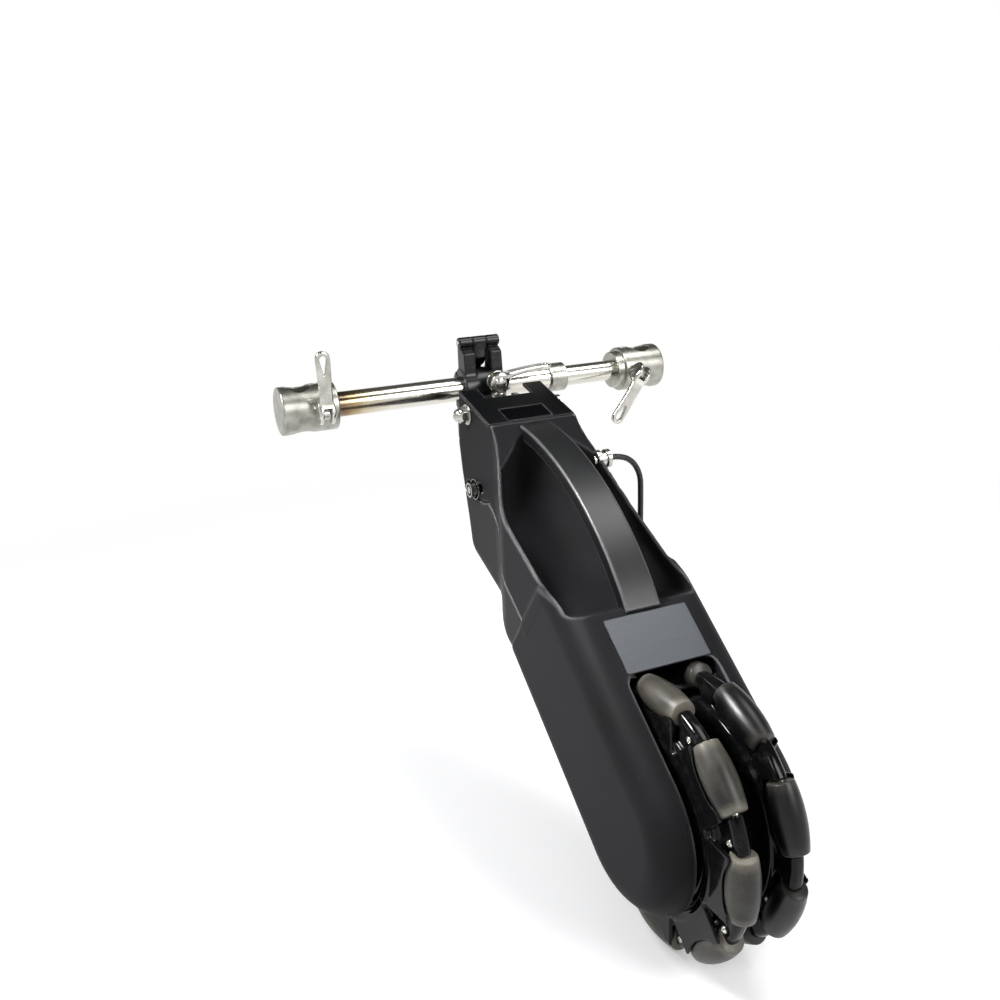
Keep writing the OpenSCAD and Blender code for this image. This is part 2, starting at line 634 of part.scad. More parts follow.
// Hub motor on a fixed axle
module axle() color("silver") at_axle() along_x(-axle_end, axle_end, axle_r);
module axle_nuts() color("silver") at_axle() for (m = [0, 1]) mirror([m, 0, 0])
    ring_x(hub_x + flange_t + 0.6, well_side, axle_r + seat, 13);
module wheel_bearings() color("silver") at_axle() for (m = [0, 1]) mirror([m, 0, 0])
    ring_x(hub_x - bearing_w, hub_x, axle_r + run, bearing_r - seat);
can_in = rim_in - can_wall;
stator_r = can_in - magnet_t - air_gap;
module stator() color("#8a4a2a") at_axle() difference() {
    along_x(-14, 14, stator_r);
    along_x(-20, 20, axle_r + seat);
    for (i = [0:11]) rotate([i * 30, 0, 0]) translate([0, 0, stator_r - 10]) along_x(-20, 20, 5);
}
module magnet_ring() color("#55585c") at_axle() ring_x(-15, 15, can_in - magnet_t, can_in - seat);
module motor_shell() color("#1c1d20") at_axle() difference() {
    along_x(-hub_x, hub_x, rim_in - seat);
    along_x(-hub_x + bearing_w, hub_x - bearing_w, can_in);
    along_x(-hub_x - eps, hub_x + eps, bearing_r);
}

// Room for a roller: a double cone along Y, a little wider than the barrel, from the roller's axis
module roller_room() for (m = [0, 1]) mirror([0, m, 0]) rotate([-90, 0, 0])
    cylinder(h = roller_l / 2 + roller_gap, r1 = roller_r + roller_gap, r2 = end_r + roller_gap);

// One rim on the right side: a ring with a bridge between each pair of rollers, a side flange, and a guard
// beside each roller that follows its barrel
module rim(turn) at_axle() difference() {
    union() {
        along_x(row_x - rim_w / 2, hub_x, pocket_r);
        along_x(row_x - arm_w / 2, arm_x, rim_out);
        along_x(hub_x, hub_x + flange_t, flange_r);
        for (i = [0:rows - 1]) rotate([turn + i * pitch, 0, 0])
            block(hub_x - 1, hub_x + flange_t, -roller_l / 2 - 2, roller_l / 2 + 2, rim_in, roller_path);
    }
    along_x(-pod_w, pod_w, rim_in);
    for (i = [0:rows - 1]) rotate([turn + i * pitch, 0, 0]) {
        block(row_x - rim_w, hub_x - 1, -roller_l / 2 - 0.7, roller_l / 2 + 0.7, pocket_r, wheel_r);
        translate([row_x, 0, roller_path]) roller_room();
        translate([row_x, 0, roller_path]) along_y(-roller_pin_l / 2, roller_pin_l / 2,
            roller_pin_r + seat);
    }
    for (i = [0:rows - 1]) rotate([turn + (i + 0.5) * pitch, 0, 0]) translate([0, 0, roller_path - 2])
        along_x(arm_x - 8, arm_x + 2, 1.5 + seat);
}
module rim_left() color("#101113") translate([bar_span, 0, 0]) mirror([1, 0, 0]) rim(wheel_turn);
module rim_right() color("#101113") rim(wheel_turn + pitch / 2);
module roller_pins() color("silver") at_axle() for (m = [0, 1]) for (i = [0:rows - 1])
    rotate([wheel_turn + (i + m / 2) * pitch, 0, 0]) translate([(2 * m - 1) * row_x, 0, roller_path])
        along_y(-roller_pin_l / 2, roller_pin_l / 2, roller_pin_r);
module bridge_screws() color("silver") at_axle() for (m = [0, 1]) for (i = [0:rows - 1])
    rotate([wheel_turn + (i + 0.5 + m / 2) * pitch, 0, 0]) translate([0, 0, roller_path - 2])
        mirror([1 - m, 0, 0]) {
            along_x(arm_x - 8, arm_x, 1.5);
            along_x(arm_x, arm_x + 1.6, 2.7);
        }

// Barrel roller whose side follows the wheel's circle
module roller(side_x, turn) color("#4a4440") at_axle() rotate([turn, 0, 0]) translate([side_x, 0,
    roller_path])
    rotate([90, 0, 0]) rotate_extrude() intersection() {
        translate([-roller_path, 0]) circle(wheel_r, $fn = 200);
        translate([roller_pin_r + run, -roller_l / 2]) square([roller_r * 2, roller_l]);
    }
module roller_l(i) roller(-row_x, wheel_turn + i * pitch);
module roller_r(i) roller(row_x, wheel_turn + (i + 0.5) * pitch);

outer_tube();
inner_tube();
lock_collar();
left_clamp();
left_skewer();
left_lever();
right_clamp();
right_skewer();
right_lever();
clamp_bracket();
clamp_jaw();
hinge_pin();
clamp_stud();
barrel_nut();
clamp_washers();
clamp_lever();
clamp_lever_pin();
pivot_bolt();
pivot_nut();
pivot_washers();
limit_bolt();
upper_shell();
belly_shell();
top_plate();
window();
carry_handle();
label_plate();
battery_pack();
controller();
axle();
axle_nuts();
wheel_bearings();
stator();
magnet_ring();
motor_shell();
rim_left();
rim_right();
roller_pins();
bridge_screws();
roller_l(0);  // roller_l1
roller_l(1);  // roller_l2
roller_l(2);  // roller_l3
roller_l(3);  // roller_l4
roller_l(4);  // roller_l5
roller_l(5);  // roller_l6
roller_l(6);  // roller_l7
roller_l(7);  // roller_l8
roller_r(0);  // roller_r1
roller_r(1);  // roller_r2
roller_r(2);  // roller_r3
roller_r(3);  // roller_r4
roller_r(4);  // roller_r5
roller_r(5);  // roller_r6
roller_r(6);  // roller_r7
roller_r(7);  // roller_r8
cord_gland();
cord_lead();
cord_coil();
cord_tie();
cord_plug();
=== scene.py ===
import math

import bpy
import numpy as np
from mathutils import Matrix, Vector


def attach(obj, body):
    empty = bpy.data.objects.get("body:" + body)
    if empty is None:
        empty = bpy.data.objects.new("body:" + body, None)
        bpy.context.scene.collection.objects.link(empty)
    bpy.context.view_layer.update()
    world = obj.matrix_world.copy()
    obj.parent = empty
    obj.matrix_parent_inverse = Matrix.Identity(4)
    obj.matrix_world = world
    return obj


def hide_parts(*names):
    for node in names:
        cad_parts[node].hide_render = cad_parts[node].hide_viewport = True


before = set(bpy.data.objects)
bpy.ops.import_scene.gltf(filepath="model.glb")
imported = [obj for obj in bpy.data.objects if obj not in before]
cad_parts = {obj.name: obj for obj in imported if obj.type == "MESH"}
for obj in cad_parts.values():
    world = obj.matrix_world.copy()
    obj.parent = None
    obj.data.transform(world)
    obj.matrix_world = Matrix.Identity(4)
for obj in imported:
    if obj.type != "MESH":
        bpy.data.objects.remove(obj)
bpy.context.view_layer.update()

# The stage: a plain pale floor 338 mm below the crossbar that runs out to white, a white room with a dark ceiling
# and five soft boxes, one of them a narrow beam on the shoulder that a flag keeps off the floor.
# The camera stands behind and to the left of the wheel, a little above it.
def linear(code):
    part = [int(code[i:i + 2], 16) / 255 for i in (1, 3, 5)]
    return tuple(c / 12.92 if c <= 0.04045 else ((c + 0.055) / 1.055) ** 2.4 for c in part) + (1.0,)


def feed(tree, node, inputs):
    # An input takes a value, a socket, or a node that stands for its first output.
    for key, value in inputs.items():
        if isinstance(value, bpy.types.Node):
            value = value.outputs[0]
        if isinstance(value, bpy.types.NodeSocket):
            tree.links.new(value, node.inputs[key])
        else:
            node.inputs[key].default_value = value


def add(tree, kind, inputs=None, stops=(), **settings):
    # The stops of a ramp are pairs of place and colour, from its first end to its last.
    node = tree.nodes.new(kind)
    for key, value in settings.items():
        setattr(node, key, value)
    feed(tree, node, inputs or {})
    stops = [(place, linear(tone) if isinstance(tone, str) else tone) for place, tone in stops]
    if stops:
        ramp = node.color_ramp.elements
        ramp[0].position, ramp[1].position = stops[0][0], stops[-1][0]
        ramp[0].color, ramp[1].color = stops[0][1], stops[-1][1]
        for place, tone in stops[1:-1]:
            ramp.new(place).color = tone
    return node


def new_finish(name):
    # A new material with its tree, its shader and the coordinates that its patterns are laid out on.
    made = bpy.data.materials.new(name)
    made.use_nodes = True
    tree = made.node_tree
    return made, tree, tree.nodes["Principled BSDF"], add(tree, "ShaderNodeTexCoord").outputs["Object"]


def seen_directly(tree):
    # One where the stage is looked at or mirrored, zero where it only gives light.
    ray = add(tree, "ShaderNodeLightPath").outputs
    mirrored = add(tree, "ShaderNodeMath", {0: ray["Is Glossy Ray"], 1: ray["Is Transmission Ray"]},
                   operation="MAXIMUM")
    return add(tree, "ShaderNodeMath", {0: ray["Is Camera Ray"], 1: mirrored}, operation="MAXIMUM")


scene = bpy.context.scene
scene.view_settings.view_transform = "Standard"
world = bpy.data.worlds.new("studio")
scene.world = world
world.use_nodes = True
tree = world.node_tree
tree.nodes.clear()
aim = add(tree, "ShaderNodeTexCoord").outputs["Generated"]
up = add(tree, "ShaderNodeSeparateXYZ", {0: aim}).outputs["Z"]
height = add(tree, "ShaderNodeMapRange", {"Value": up, "From Min": -0.25, "From Max": 0.7})
sky = add(tree, "ShaderNodeValToRGB", {"Fac": height},
          stops=((0, (0.30, 0.30, 0.30, 1)), (0.34, (0.14, 0.14, 0.145, 1)), (1, (0.86, 0.87, 0.88, 1))))
rise = add(tree, "ShaderNodeMapRange", {"Value": up, "From Min": 0.22, "From Max": 1.0})
room = add(tree, "ShaderNodeValToRGB", {"Fac": rise},
           stops=[(at, (grey, grey, grey, 1)) for at, grey in ((0, 1), (0.10, 0.20), (0.45, 0.08), (1, 0.10))])
lit = add(tree, "ShaderNodeBackground", {"Color": sky, "Strength": 0.55})
seen = add(tree, "ShaderNodeBackground", {"Color": room, "Strength": 1.0})
both = add(tree, "ShaderNodeMixShader", {0: seen_directly(tree), 1: lit, 2: seen})
add(tree, "ShaderNodeOutputWorld", {"Surface": both})

middle, shoulder = (0.17, -0.2, -0.12), (0.11, -0.26, -0.12)
for name, place, target, size, spread, watts in (
        ("key_box", (0.85, -1.65, 0.85), middle, 0.75, 180, 22.0),
        ("top_box", (0.93, -0.4, 1.7), middle, 0.8, 180, 16.0),
        ("left_box", (-0.45, -0.05, 0.60), middle, 0.22, 180, 6.5),
        ("rear_box", (-0.84, -1.3, 0.95), middle, 0.3, 180, 4.0),
        ("shoulder_box", (-0.50, -0.08, 0.62), shoulder, 0.22, 30, 1.0)):
    lamp = bpy.data.lights.new(name, "AREA")
    lamp.shape, lamp.size, lamp.spread, lamp.energy = "SQUARE", size, math.radians(spread), watts
    box = bpy.data.objects.new(name, lamp)
    box.location = place
    box.rotation_euler = (Vector(target) - Vector(place)).to_track_quat("-Z", "Y").to_euler()
    scene.collection.objects.link(box)

floor_z = -0.338
floor_mesh = bpy.data.meshes.new("studio_floor")
floor_mesh.from_pydata([(x, y, floor_z) for x, y in ((-7, -5), (7, -5), (7, 14), (-7, 14))], [], [(0, 1, 2, 3)])
floor = bpy.data.objects.new("studio_floor", floor_mesh)
scene.collection.objects.link(floor)
paint, tree, face, spot = new_finish("pale_floor")
tree.nodes.remove(face)
off = add(tree, "ShaderNodeVectorMath", {0: spot, 1: (*middle[:2], floor_z)}, operation="DISTANCE").outputs["Value"]
far = add(tree, "ShaderNodeMapRange", {"Value": off, "From Min": 0.45, "From Max": 1.2},
          interpolation_type="SMOOTHSTEP")
shown = seen_directly(tree)
white = add(tree, "ShaderNodeMath", {0: shown, 1: far}, operation="MULTIPLY")
matt = add(tree, "ShaderNodeBsdfDiffuse", {"Color": (0.84, 0.84, 0.85, 1)})
glow = add(tree, "ShaderNodeEmission", {"Color": (1, 1, 1, 1), "Strength": 0.22})
glow_seen = add(tree, "ShaderNodeMixShader", {0: shown, 2: glow})
near_floor = add(tree, "ShaderNodeAddShader", {0: matt, 1: glow_seen})
blank = add(tree, "ShaderNodeEmission", {"Color": (1, 1, 1, 1), "Strength": 1.0})
floor_mix = add(tree, "ShaderNodeMixShader", {0: white, 1: near_floor, 2: blank})
feed(tree, tree.nodes["Material Output"], {"Surface": floor_mix})
floor_mesh.materials.append(paint)
flag = bpy.data.collections.new("off_the_floor")
flag.objects.link(floor)
flag.collection_objects[0].light_linking.link_state = "EXCLUDE"
bpy.data.objects["shoulder_box"].light_linking.receiver_collection = flag

lens = bpy.data.cameras.new("view")
lens.lens, lens.sensor_width, lens.clip_start, lens.clip_end = 36.6, 36.0, 0.01, 50
camera = bpy.data.objects.new("view", lens)
ahead, right, upward = (0.3798, 0.8702, -0.3139), (0.9113, -0.4103, -0.0348), (0.1591, 0.2728, 0.9488)
camera.matrix_world = Matrix((right, upward, [-c for c in ahead])).transposed().to_4x4()
camera.location = (-0.1883, -0.8581, 0.1956)
scene.collection.objects.link(camera)
scene.camera = camera


# The control cable: 5 mm of black PVC that leaves the body on the right through a metal gland, hangs to the
# floor and ends in an in-line connector. Its spare length lies in a tied coil of five turns behind the body.
def pvc_jacket():
    # Extruded PVC: a dull black sheath with faint dust and slow waves left by the die.
    m, t, face, spot = new_finish("pvc_jacket")
    dust = add(t, "ShaderNodeTexNoise", {"Vector": spot, "Scale": 1000 / 9.0, "Detail": 3.0})
    tone = add(t, "ShaderNodeValToRGB", {"Fac": dust}, stops=((0, "#0e0e10"), (1, "#1d1e20")))
    fine = add(t, "ShaderNodeTexNoise", {"Vector": spot, "Scale": 1000 / 0.9, "Detail": 3.0})
    bump = add(t, "ShaderNodeBump", {"Height": fine, "Strength": 0.12, "Distance": 0.0003})
    feed(t, face, {"Base Color": tone, "Normal": bump, "Roughness": 0.48})
    return m


gland = (215.1, -137, -44)
hang_x, hang_y, lie = 260, gland[1], -334.2
lead = [(229.1, hang_y, -44), (236, hang_y, -44), (246, hang_y, -47), (254, hang_y, -54), (259, hang_y, -65)]
lead += [(hang_x, hang_y, z) for z in (-80, -120, -160, -200, -240, -280, -300)]
lead += [(hang_x, y, z) for y, z in ((-139, -314), (-145, -325), (-154, -332), (-165, lie), (-180, lie), (-195, lie))]
route = []
for i in range(len(lead) - 1):
    a, b, c, d = (np.array(lead[min(max(k, 0), len(lead) - 1)], float) for k in (i - 1, i, i + 1, i + 2))
    for u in (0, 0.25, 0.5, 0.75):
        route.append(0.5 * (2 * b + (c - a) * u + (2 * a - 5 * b + 4 * c - d) * u * u
                            + (3 * b - a - 3 * c + d) * u ** 3))
route.append(lead[-1])
turns, coil_r, coil_step, coil_x, coil_y = 5, 34.0, 5.6, 226.0, -200.0
half = turns * 180
for deg in range(0, turns * 360, 10):
    r = coil_r - coil_step * (half - abs(deg - half)) / 360
    climb = min(max((deg - half + 90) / 180, 0), 1)
    angle = math.radians(deg)
    route.append((coil_x + r * math.cos(angle), coil_y - r * math.sin(angle), lie + climb * coil_step))
route += [(coil_x + coil_r, coil_y - back, lie + coil_step) for back in (4, 12, 22, 33)]
route = np.array(route) / 1000
cable_data = bpy.data.curves.new("control_cable", "CURVE")
cable_data.dimensions = "3D"
cable_data.bevel_depth, cable_data.bevel_resolution = 0.0025, 5
cable_data.use_fill_caps = True
line = cable_data.splines.new("POLY")
line.points.add(len(route) - 1)
for point, p in zip(line.points, route):
    point.co = (*p, 1)
cable = bpy.data.objects.new("control_cable", cable_data)
scene.collection.objects.link(cable)
cable_data.materials.append(pvc_jacket())
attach(cable, "drive_unit")
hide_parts("cord_lead", "cord_coil")


# The crossbar: a polished stainless tube, 22 mm across, that slides over a thinner one and is locked by a turned
# aluminium collar. The outer tube is welded to the left end clamp, which leaves a straw and brown heat tint.
def piece_of(name, mesh, material, body, slot, *nodes):
    mesh.materials.clear()
    mesh.materials.append(material)
    made = bpy.data.objects.new(name, mesh)
    scene.collection.objects.link(made)
    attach(made, body)
    if nodes:
        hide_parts(*nodes)


def dress(material, *nodes):
    for n in nodes:
        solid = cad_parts[n]
        solid.data.materials.clear()
        solid.data.materials.append(material)


def stainless_tube():
    # Polished stainless: fine rings left by the polishing belt, and the tint of the weld near the left clamp.
    m, t, face, spot = new_finish("polished_stainless")
    along = add(t, "ShaderNodeSeparateXYZ", {0: spot}).outputs["X"]
    blot = add(t, "ShaderNodeTexNoise", {"Vector": spot, "Scale": 1000 / 14.0, "Detail": 3.0})
    shift = add(t, "ShaderNodeMath", {0: blot, 1: 0.012, 2: along}, operation="MULTIPLY_ADD")
    heat = add(t, "ShaderNodeMapRange", {"Value": shift, "From Min": 0.036, "From Max": 0.088})
    tint = add(t, "ShaderNodeValToRGB", {"Fac": heat}, stops=(
        (0, "#7d6a58"), (0.16, "#85705a"), (0.32, "#a8946f"), (0.55, "#c4b99f"), (1, "#d0cdc3")))
    belt = add(t, "ShaderNodeMapping", {"Vector": spot, "Scale": (2600, 60, 60)})
    rings = add(t, "ShaderNodeTexNoise", {"Vector": belt, "Scale": 1.0, "Detail": 2.0})
    gloss = add(t, "ShaderNodeMapRange", {"Value": rings, "To Min": 0.12, "To Max": 0.26})
    bump = add(t, "ShaderNodeBump", {"Height": rings, "Strength": 0.05, "Distance": 0.0001})
    feed(t, face, {"Base Color": tint, "Roughness": gloss, "Normal": bump, "Metallic": 1.0})
    return m


def turned_alloy(name, light, shade, low, high, pitch):
    # Turned or forged aluminium: bright, slightly warm, with dull spots and close tool lines.
    m, t, face, spot = new_finish(name)
    dull = add(t, "ShaderNodeTexNoise", {"Vector": spot, "Scale": 1000 / 11.0, "Detail": 4.0})
    tone = add(t, "ShaderNodeValToRGB", {"Fac": dull}, stops=((0.3, shade), (0.68, light)))
    lay = add(t, "ShaderNodeMapping", {"Vector": spot, "Scale": (1000 / pitch, 35, 35)})
    lines = add(t, "ShaderNodeTexNoise", {"Vector": lay, "Scale": 1.0, "Detail": 2.0})
    gloss = add(t, "ShaderNodeMapRange", {"Value": lines, "To Min": low, "To Max": high})
    bump = add(t, "ShaderNodeBump", {"Height": lines, "Strength": 0.10, "Distance": 0.0001})
    feed(t, face, {"Base Color": tone, "Roughness": gloss, "Normal": bump, "Metallic": 1.0})
    return m


def turned(profile, place, steps=56):
    # A turned shape: profile points are (along, radius) in millimetres about the X axis of place.
    closed, rows = profile[0] == profile[-1], len(profile) - 1
    ring = [(math.cos(2 * math.pi * k / steps), math.sin(2 * math.pi * k / steps)) for k in range(steps)]
    verts = [tuple(place @ Vector((a, r * c, r * s)) / 1000)
             for a, r in (profile[:-1] if closed else profile) for c, s in ring]
    faces = []
    for i in range(rows):
        low, high = i * steps, 0 if closed and i == rows - 1 else (i + 1) * steps
        for k in range(steps):
            n = (k + 1) % steps
            faces.append((low + k, low + n, high + n, high + k))
    if not closed:
        faces += [tuple(reversed(range(steps))), tuple(range(rows * steps, (rows + 1) * steps))]
    mesh = bpy.data.meshes.new("turned")
    mesh.from_pydata(verts, [], faces)
    mesh.validate()
    mesh.shade_smooth()
    mesh.set_sharp_from_angle(angle=math.radians(32))
    return mesh


dress(stainless_tube(), "outer_tube", "inner_tube")
clamp_alloy = turned_alloy("turned_aluminium", "#b4b3aa", "#8c8b83", 0.24, 0.42, 0.5)
bar_fit = 11.05
collar = [(0, bar_fit), (0, 12.7), (0.8, 13.5), (16.2, 13.5), (17, 12.7), (17, bar_fit), (0, bar_fit)]
piece_of("locking_collar", turned(collar, Matrix.Translation((239, 0, 0))), clamp_alloy, "crossbar", "clamp_alloy",
         "lock_collar")


# The end clamps: two split blocks turned from aluminium bar, 42 mm across, with an upright bore for a frame tube
# of 22.2 mm. The right one has a step down to its tube, the left one is joined to the bar by a rippled weld.
def smax(a, b, k):
    h = np.maximum(k - np.abs(a - b), 0)
    return np.maximum(a, b) + h * h / (4 * k)


def smin(a, b, k):
    return -smax(-a, -b, k)


def meet(a, b, e):
    # Two distances that meet in an outer edge of radius e.
    a, b = a + e, b + e
    return np.minimum(np.maximum(a, b), 0) + np.hypot(np.maximum(a, 0), np.maximum(b, 0)) - e


def rounded(flat, w, low, high, e):
    # Extrudes a flat distance from low to high along w, with edges of radius e.
    return meet(flat, np.abs(w - (low + high) / 2) - (high - low) / 2, e)


def skin(field, low, high, cell, warp=None, ring=False, place=None):
    # Meshes the zero surface of a distance field in millimetres: one point per cell, pulled onto the surface.
    # A ring's second axis closes on itself. The attribute "edge" holds how sharply the surface bends outward,
    # per millimetre.
    cell = np.ones(3) * cell
    size = [int(math.ceil((b - a) / c)) + 1 for a, b, c in zip(low, high, cell)]
    warp = warp or (lambda u, v, w: (u, v, w))
    grid = np.meshgrid(*[a + c * np.arange(n) for a, c, n in zip(low, cell, size)], indexing="ij")
    d = field(*warp(*[g.ravel() for g in grid])).reshape(size)
    cells = [n - 1 for n in size]
    count, total, quads = np.zeros(np.prod(cells)), np.zeros((3, np.prod(cells))), []
    for axis in range(3):
        first, second = np.moveaxis(d, axis, 0)[:-1], np.moveaxis(d, axis, 0)[1:]
        cross = np.argwhere((first < 0) != (second < 0))
        a, b = first[tuple(cross.T)], second[tuple(cross.T)]
        at = np.empty_like(cross)
        u, v = (k for k in range(3) if k != axis)
        at[:, axis], at[:, u], at[:, v] = cross.T
        keep = np.ones(len(at), bool)
        for k in (u, v):
            keep &= (at[:, k] < cells[k]) & ((at[:, k] > 0) | (ring and k == 1))
        at, a, b = at[keep], a[keep], b[keep]
        point = at.astype(float)
        point[:, axis] += a / (a - b)
        corner = []
        for du, dv in ((0, 0), (-1, 0), (-1, -1), (0, -1)):
            c = at.copy()
            c[:, u] += du
            c[:, v] += dv
            inner = point - c
            c[:, 1] %= cells[1]
            flat = np.ravel_multi_index(c.T, cells)
            corner.append(flat)
            count += np.bincount(flat, minlength=count.size)
            for k in range(3):
                total[k] += np.bincount(flat, inner[:, k], minlength=count.size)
        flip = (a < 0) == (axis == 1)
        quad = np.stack(corner, 1)
        quad[flip] = quad[flip][:, ::-1]
        quads.append(quad)
    used = np.nonzero(count)[0]
    number = np.zeros(count.size, int)
    number[used] = np.arange(len(used))
    spot = (total[:, used] / count[used] + np.unravel_index(used, cells)).T * cell + np.array(low, float)
    p = np.stack(warp(*spot.T), 1)
    axes = np.eye(3)

    def slope_at(q, h):
        return np.stack([(field(*(q + h * e).T) - field(*(q - h * e).T)) / (2 * h) for e in axes], 1)

    for _ in range(3):
        g = slope_at(p, 0.05)
        pull = field(*p.T) / np.maximum((g * g).sum(1), 0.05)
        p = p - np.clip(pull, -0.6, 0.6)[:, None] * g
    normal = slope_at(p, 0.25)
    normal /= np.maximum(np.linalg.norm(normal, axis=1), 1e-9)[:, None]
    reach = 1.2
    bend = sum(field(*(p + h * e).T) - field(*p.T) for e in axes for h in (-reach, reach)) / reach ** 2
    if place is not None:
        turn = np.array(place.to_3x3())
        p, normal = p @ turn.T + np.array(place.translation), normal @ turn.T
    mesh = bpy.data.meshes.new("skin")
    mesh.from_pydata((p / 1000).tolist(), [], number[np.concatenate(quads)].tolist())
    mesh.attributes.new("edge", "FLOAT", "POINT").data.foreach_set("value", bend.astype(np.float32))
    mesh.shade_smooth()
    mesh.normals_split_custom_set_from_vertices(normal.tolist())
    return mesh


def end_clamp(x, y, z, stepped):
    r = np.hypot(y, z)
    block_r, step_r, bore_r, end, slit_x = 21, 17.5, 11.1, 31, 21
    block = smin(rounded(r - block_r, x, -18, end - 7 * stepped, 1.3), rounded(r - step_r, x, 0, end, 1.3), 0.8)
    block = smax(block, bore_r - np.hypot(x, y), 1.2)
    block = smax(block, -np.maximum(np.abs(y) - 1, np.abs(x - 10) - 12), 0.7)
    return smax(block, -np.maximum(np.abs(x - slit_x) - 1, -y - 1), 0.7)


bar_span = 340
piece_of("left_end_clamp", skin(lambda x, y, z: end_clamp(x, y, z, 0), (-20, -23, -23), (33, 23, 23), 0.9),
         clamp_alloy, "crossbar", "clamp_alloy", "left_clamp")
piece_of("right_end_clamp", skin(lambda x, y, z: end_clamp(bar_span - x, y, z, 1), (307, -23, -23), (360, 23, 23), 0.9),
         clamp_alloy, "right_end", "clamp_alloy", "right_clamp")


def grown(name, tree, **inputs):
    # A plain mesh from a geometry tree, with the tree's inputs set by name.
    host = bpy.data.objects.new(name, bpy.data.meshes.new(name))
    scene.collection.objects.link(host)
    made = host.modifiers.new("shape", "NODES")
    made.node_group = tree
    for item in tree.interface.items_tree:
        if item.in_out == "INPUT" and item.name in inputs:
            made[item.identifier] = inputs[item.name]
    mesh = bpy.data.meshes.new_from_object(host.evaluated_get(bpy.context.evaluated_depsgraph_get()))
    host.modifiers.clear()
    bpy.data.objects.remove(host)
    return mesh


def new_tree(name, **kinds):
    # A geometry tree and its named inputs.
    tree = bpy.data.node_groups.new(name, "GeometryNodeTree")
    tree.interface.new_socket("Geometry", in_out="OUTPUT", socket_type="NodeSocketGeometry")
    for key, kind in kinds.items():
        tree.interface.new_socket(key, in_out="INPUT", socket_type="NodeSocket" + kind)
    return tree, add(tree, "NodeGroupInput").outputs


weld, given = new_tree("weld_bead", Beads="Int", Ring="Float", Bead="Float", Metal="Material")
hoop = add(weld, "GeometryNodeMeshCircle", {"Vertices": given["Beads"], "Radius": given["Ring"]})
drop = add(weld, "GeometryNodeMeshIcoSphere", {"Radius": given["Bead"], "Subdivisions": 3})
puddle = add(weld, "GeometryNodeTransform", {"Geometry": drop, "Scale": (0.85, 0.85, 1.15)})
wander = add(weld, "FunctionNodeRandomValue", {2: 0.88, 3: 1.1, "Seed": 4}, data_type="FLOAT").outputs[1]
beads = add(weld, "GeometryNodeInstanceOnPoints", {"Points": hoop, "Instance": puddle, "Scale": wander})
real = add(weld, "GeometryNodeRealizeInstances", {0: beads})
stood = add(weld, "GeometryNodeTransform", {0: real, "Translation": (0.0311, 0, 0), "Rotation": (0, math.pi / 2, 0)})
smooth = add(weld, "GeometryNodeSetShadeSmooth", {0: stood})
metal = add(weld, "GeometryNodeSetMaterial", {0: smooth, "Material": given["Metal"]})
add(weld, "NodeGroupOutput", {"Geometry": metal})
weld_metal = turned_alloy("weld_metal", "#bdb6a8", "#6f6455", 0.25, 0.5, 1.5)
ripples = grown("weld_ripples", weld, Beads=34, Ring=0.0119, Bead=0.0021, Metal=weld_metal)
piece_of("weld_ripples", ripples, weld_metal, "crossbar", "clamp_alloy")


# The cam levers: three forged and polished aluminium levers, 54 mm long, each with a forked cam head on a steel pin
# and a finger hole near its tip. Two draw the end clamps shut through skewers, the third shuts the bar clamp.
def cam_lever(x, y, z):
    tip_r, tip_z, long = 6.3, 47.7, 54
    head = rounded(np.hypot(y, z) - 9, x, -6.5, 6.5, 1.4)
    half = np.interp(z, [0, 22, 44], [6.5, 5.7, tip_r])
    tip = np.where(z > tip_z, np.hypot(x, z - tip_z) - tip_r, np.maximum(np.abs(x) - half, -z))
    bow = -4.0 - 1.3 * np.sin(np.pi * np.clip(z / long, 0, 1))
    thick = np.interp(z, [0, 14, long], [2.9, 2.5, 2.1])
    arm = rounded(tip, (y - bow) / thick * 2.3, -2.3, 2.3, 1.5)
    fork = np.maximum(np.abs(x) - 3.4, z - 5.6)
    lever = smax(smin(head, arm, 5.0), -fork, 0.7)
    hole = np.hypot(x, z - np.clip(z, 35, 47)) - np.interp(z, [35, 47], [0.7, 3.0])
    pin = rounded(np.hypot(y, z) - 2.4, x, -7.5, 7.5, 0.5)
    return smin(smax(lever, -hole, 1.2), pin, 0.2)


lever_alloy = turned_alloy("polished_forging", "#d6d4cd", "#b0aea6", 0.13, 0.27, 1.2)
stud_x, stud_y = 175, -31
left_at = Matrix.Translation((15.5, -30.3, 0))
right_at = Matrix.Translation((324.5, -30.3, 0)) @ Matrix.Rotation(math.radians(215), 4, "Y")
clamp_at = (Matrix.Translation((stud_x, stud_y, 9)) @ Matrix.Rotation(math.radians(-6), 4, "Y")
            @ Matrix.Rotation(math.radians(-90), 4, "X") @ Matrix.Rotation(math.radians(90), 4, "Y"))
for name, place, body, node in (("left_cam_lever", left_at, "left_lever", "left_lever"),
                                ("right_cam_lever", right_at, "right_lever", "right_lever"),
                                ("bar_clamp_lever", clamp_at, "cam_lever", "clamp_lever")):
    piece_of(name, skin(cam_lever, (-9, -11, -11), (9, 11, 56), 0.55, place=place), lever_alloy, body, "clamp_alloy",
             node)


# The bar clamp: a welded and painted steel bracket that sits over the bar, and a swinging jaw that hangs from its
# hinge in front of the bar. A stud with a barrel nut and the third cam lever pull the jaw's tail up.
mid, hinge_z, hoop_r, hoop_half = 170, 42, 18, 19.5
pivot_y, pivot_z = -66, -8


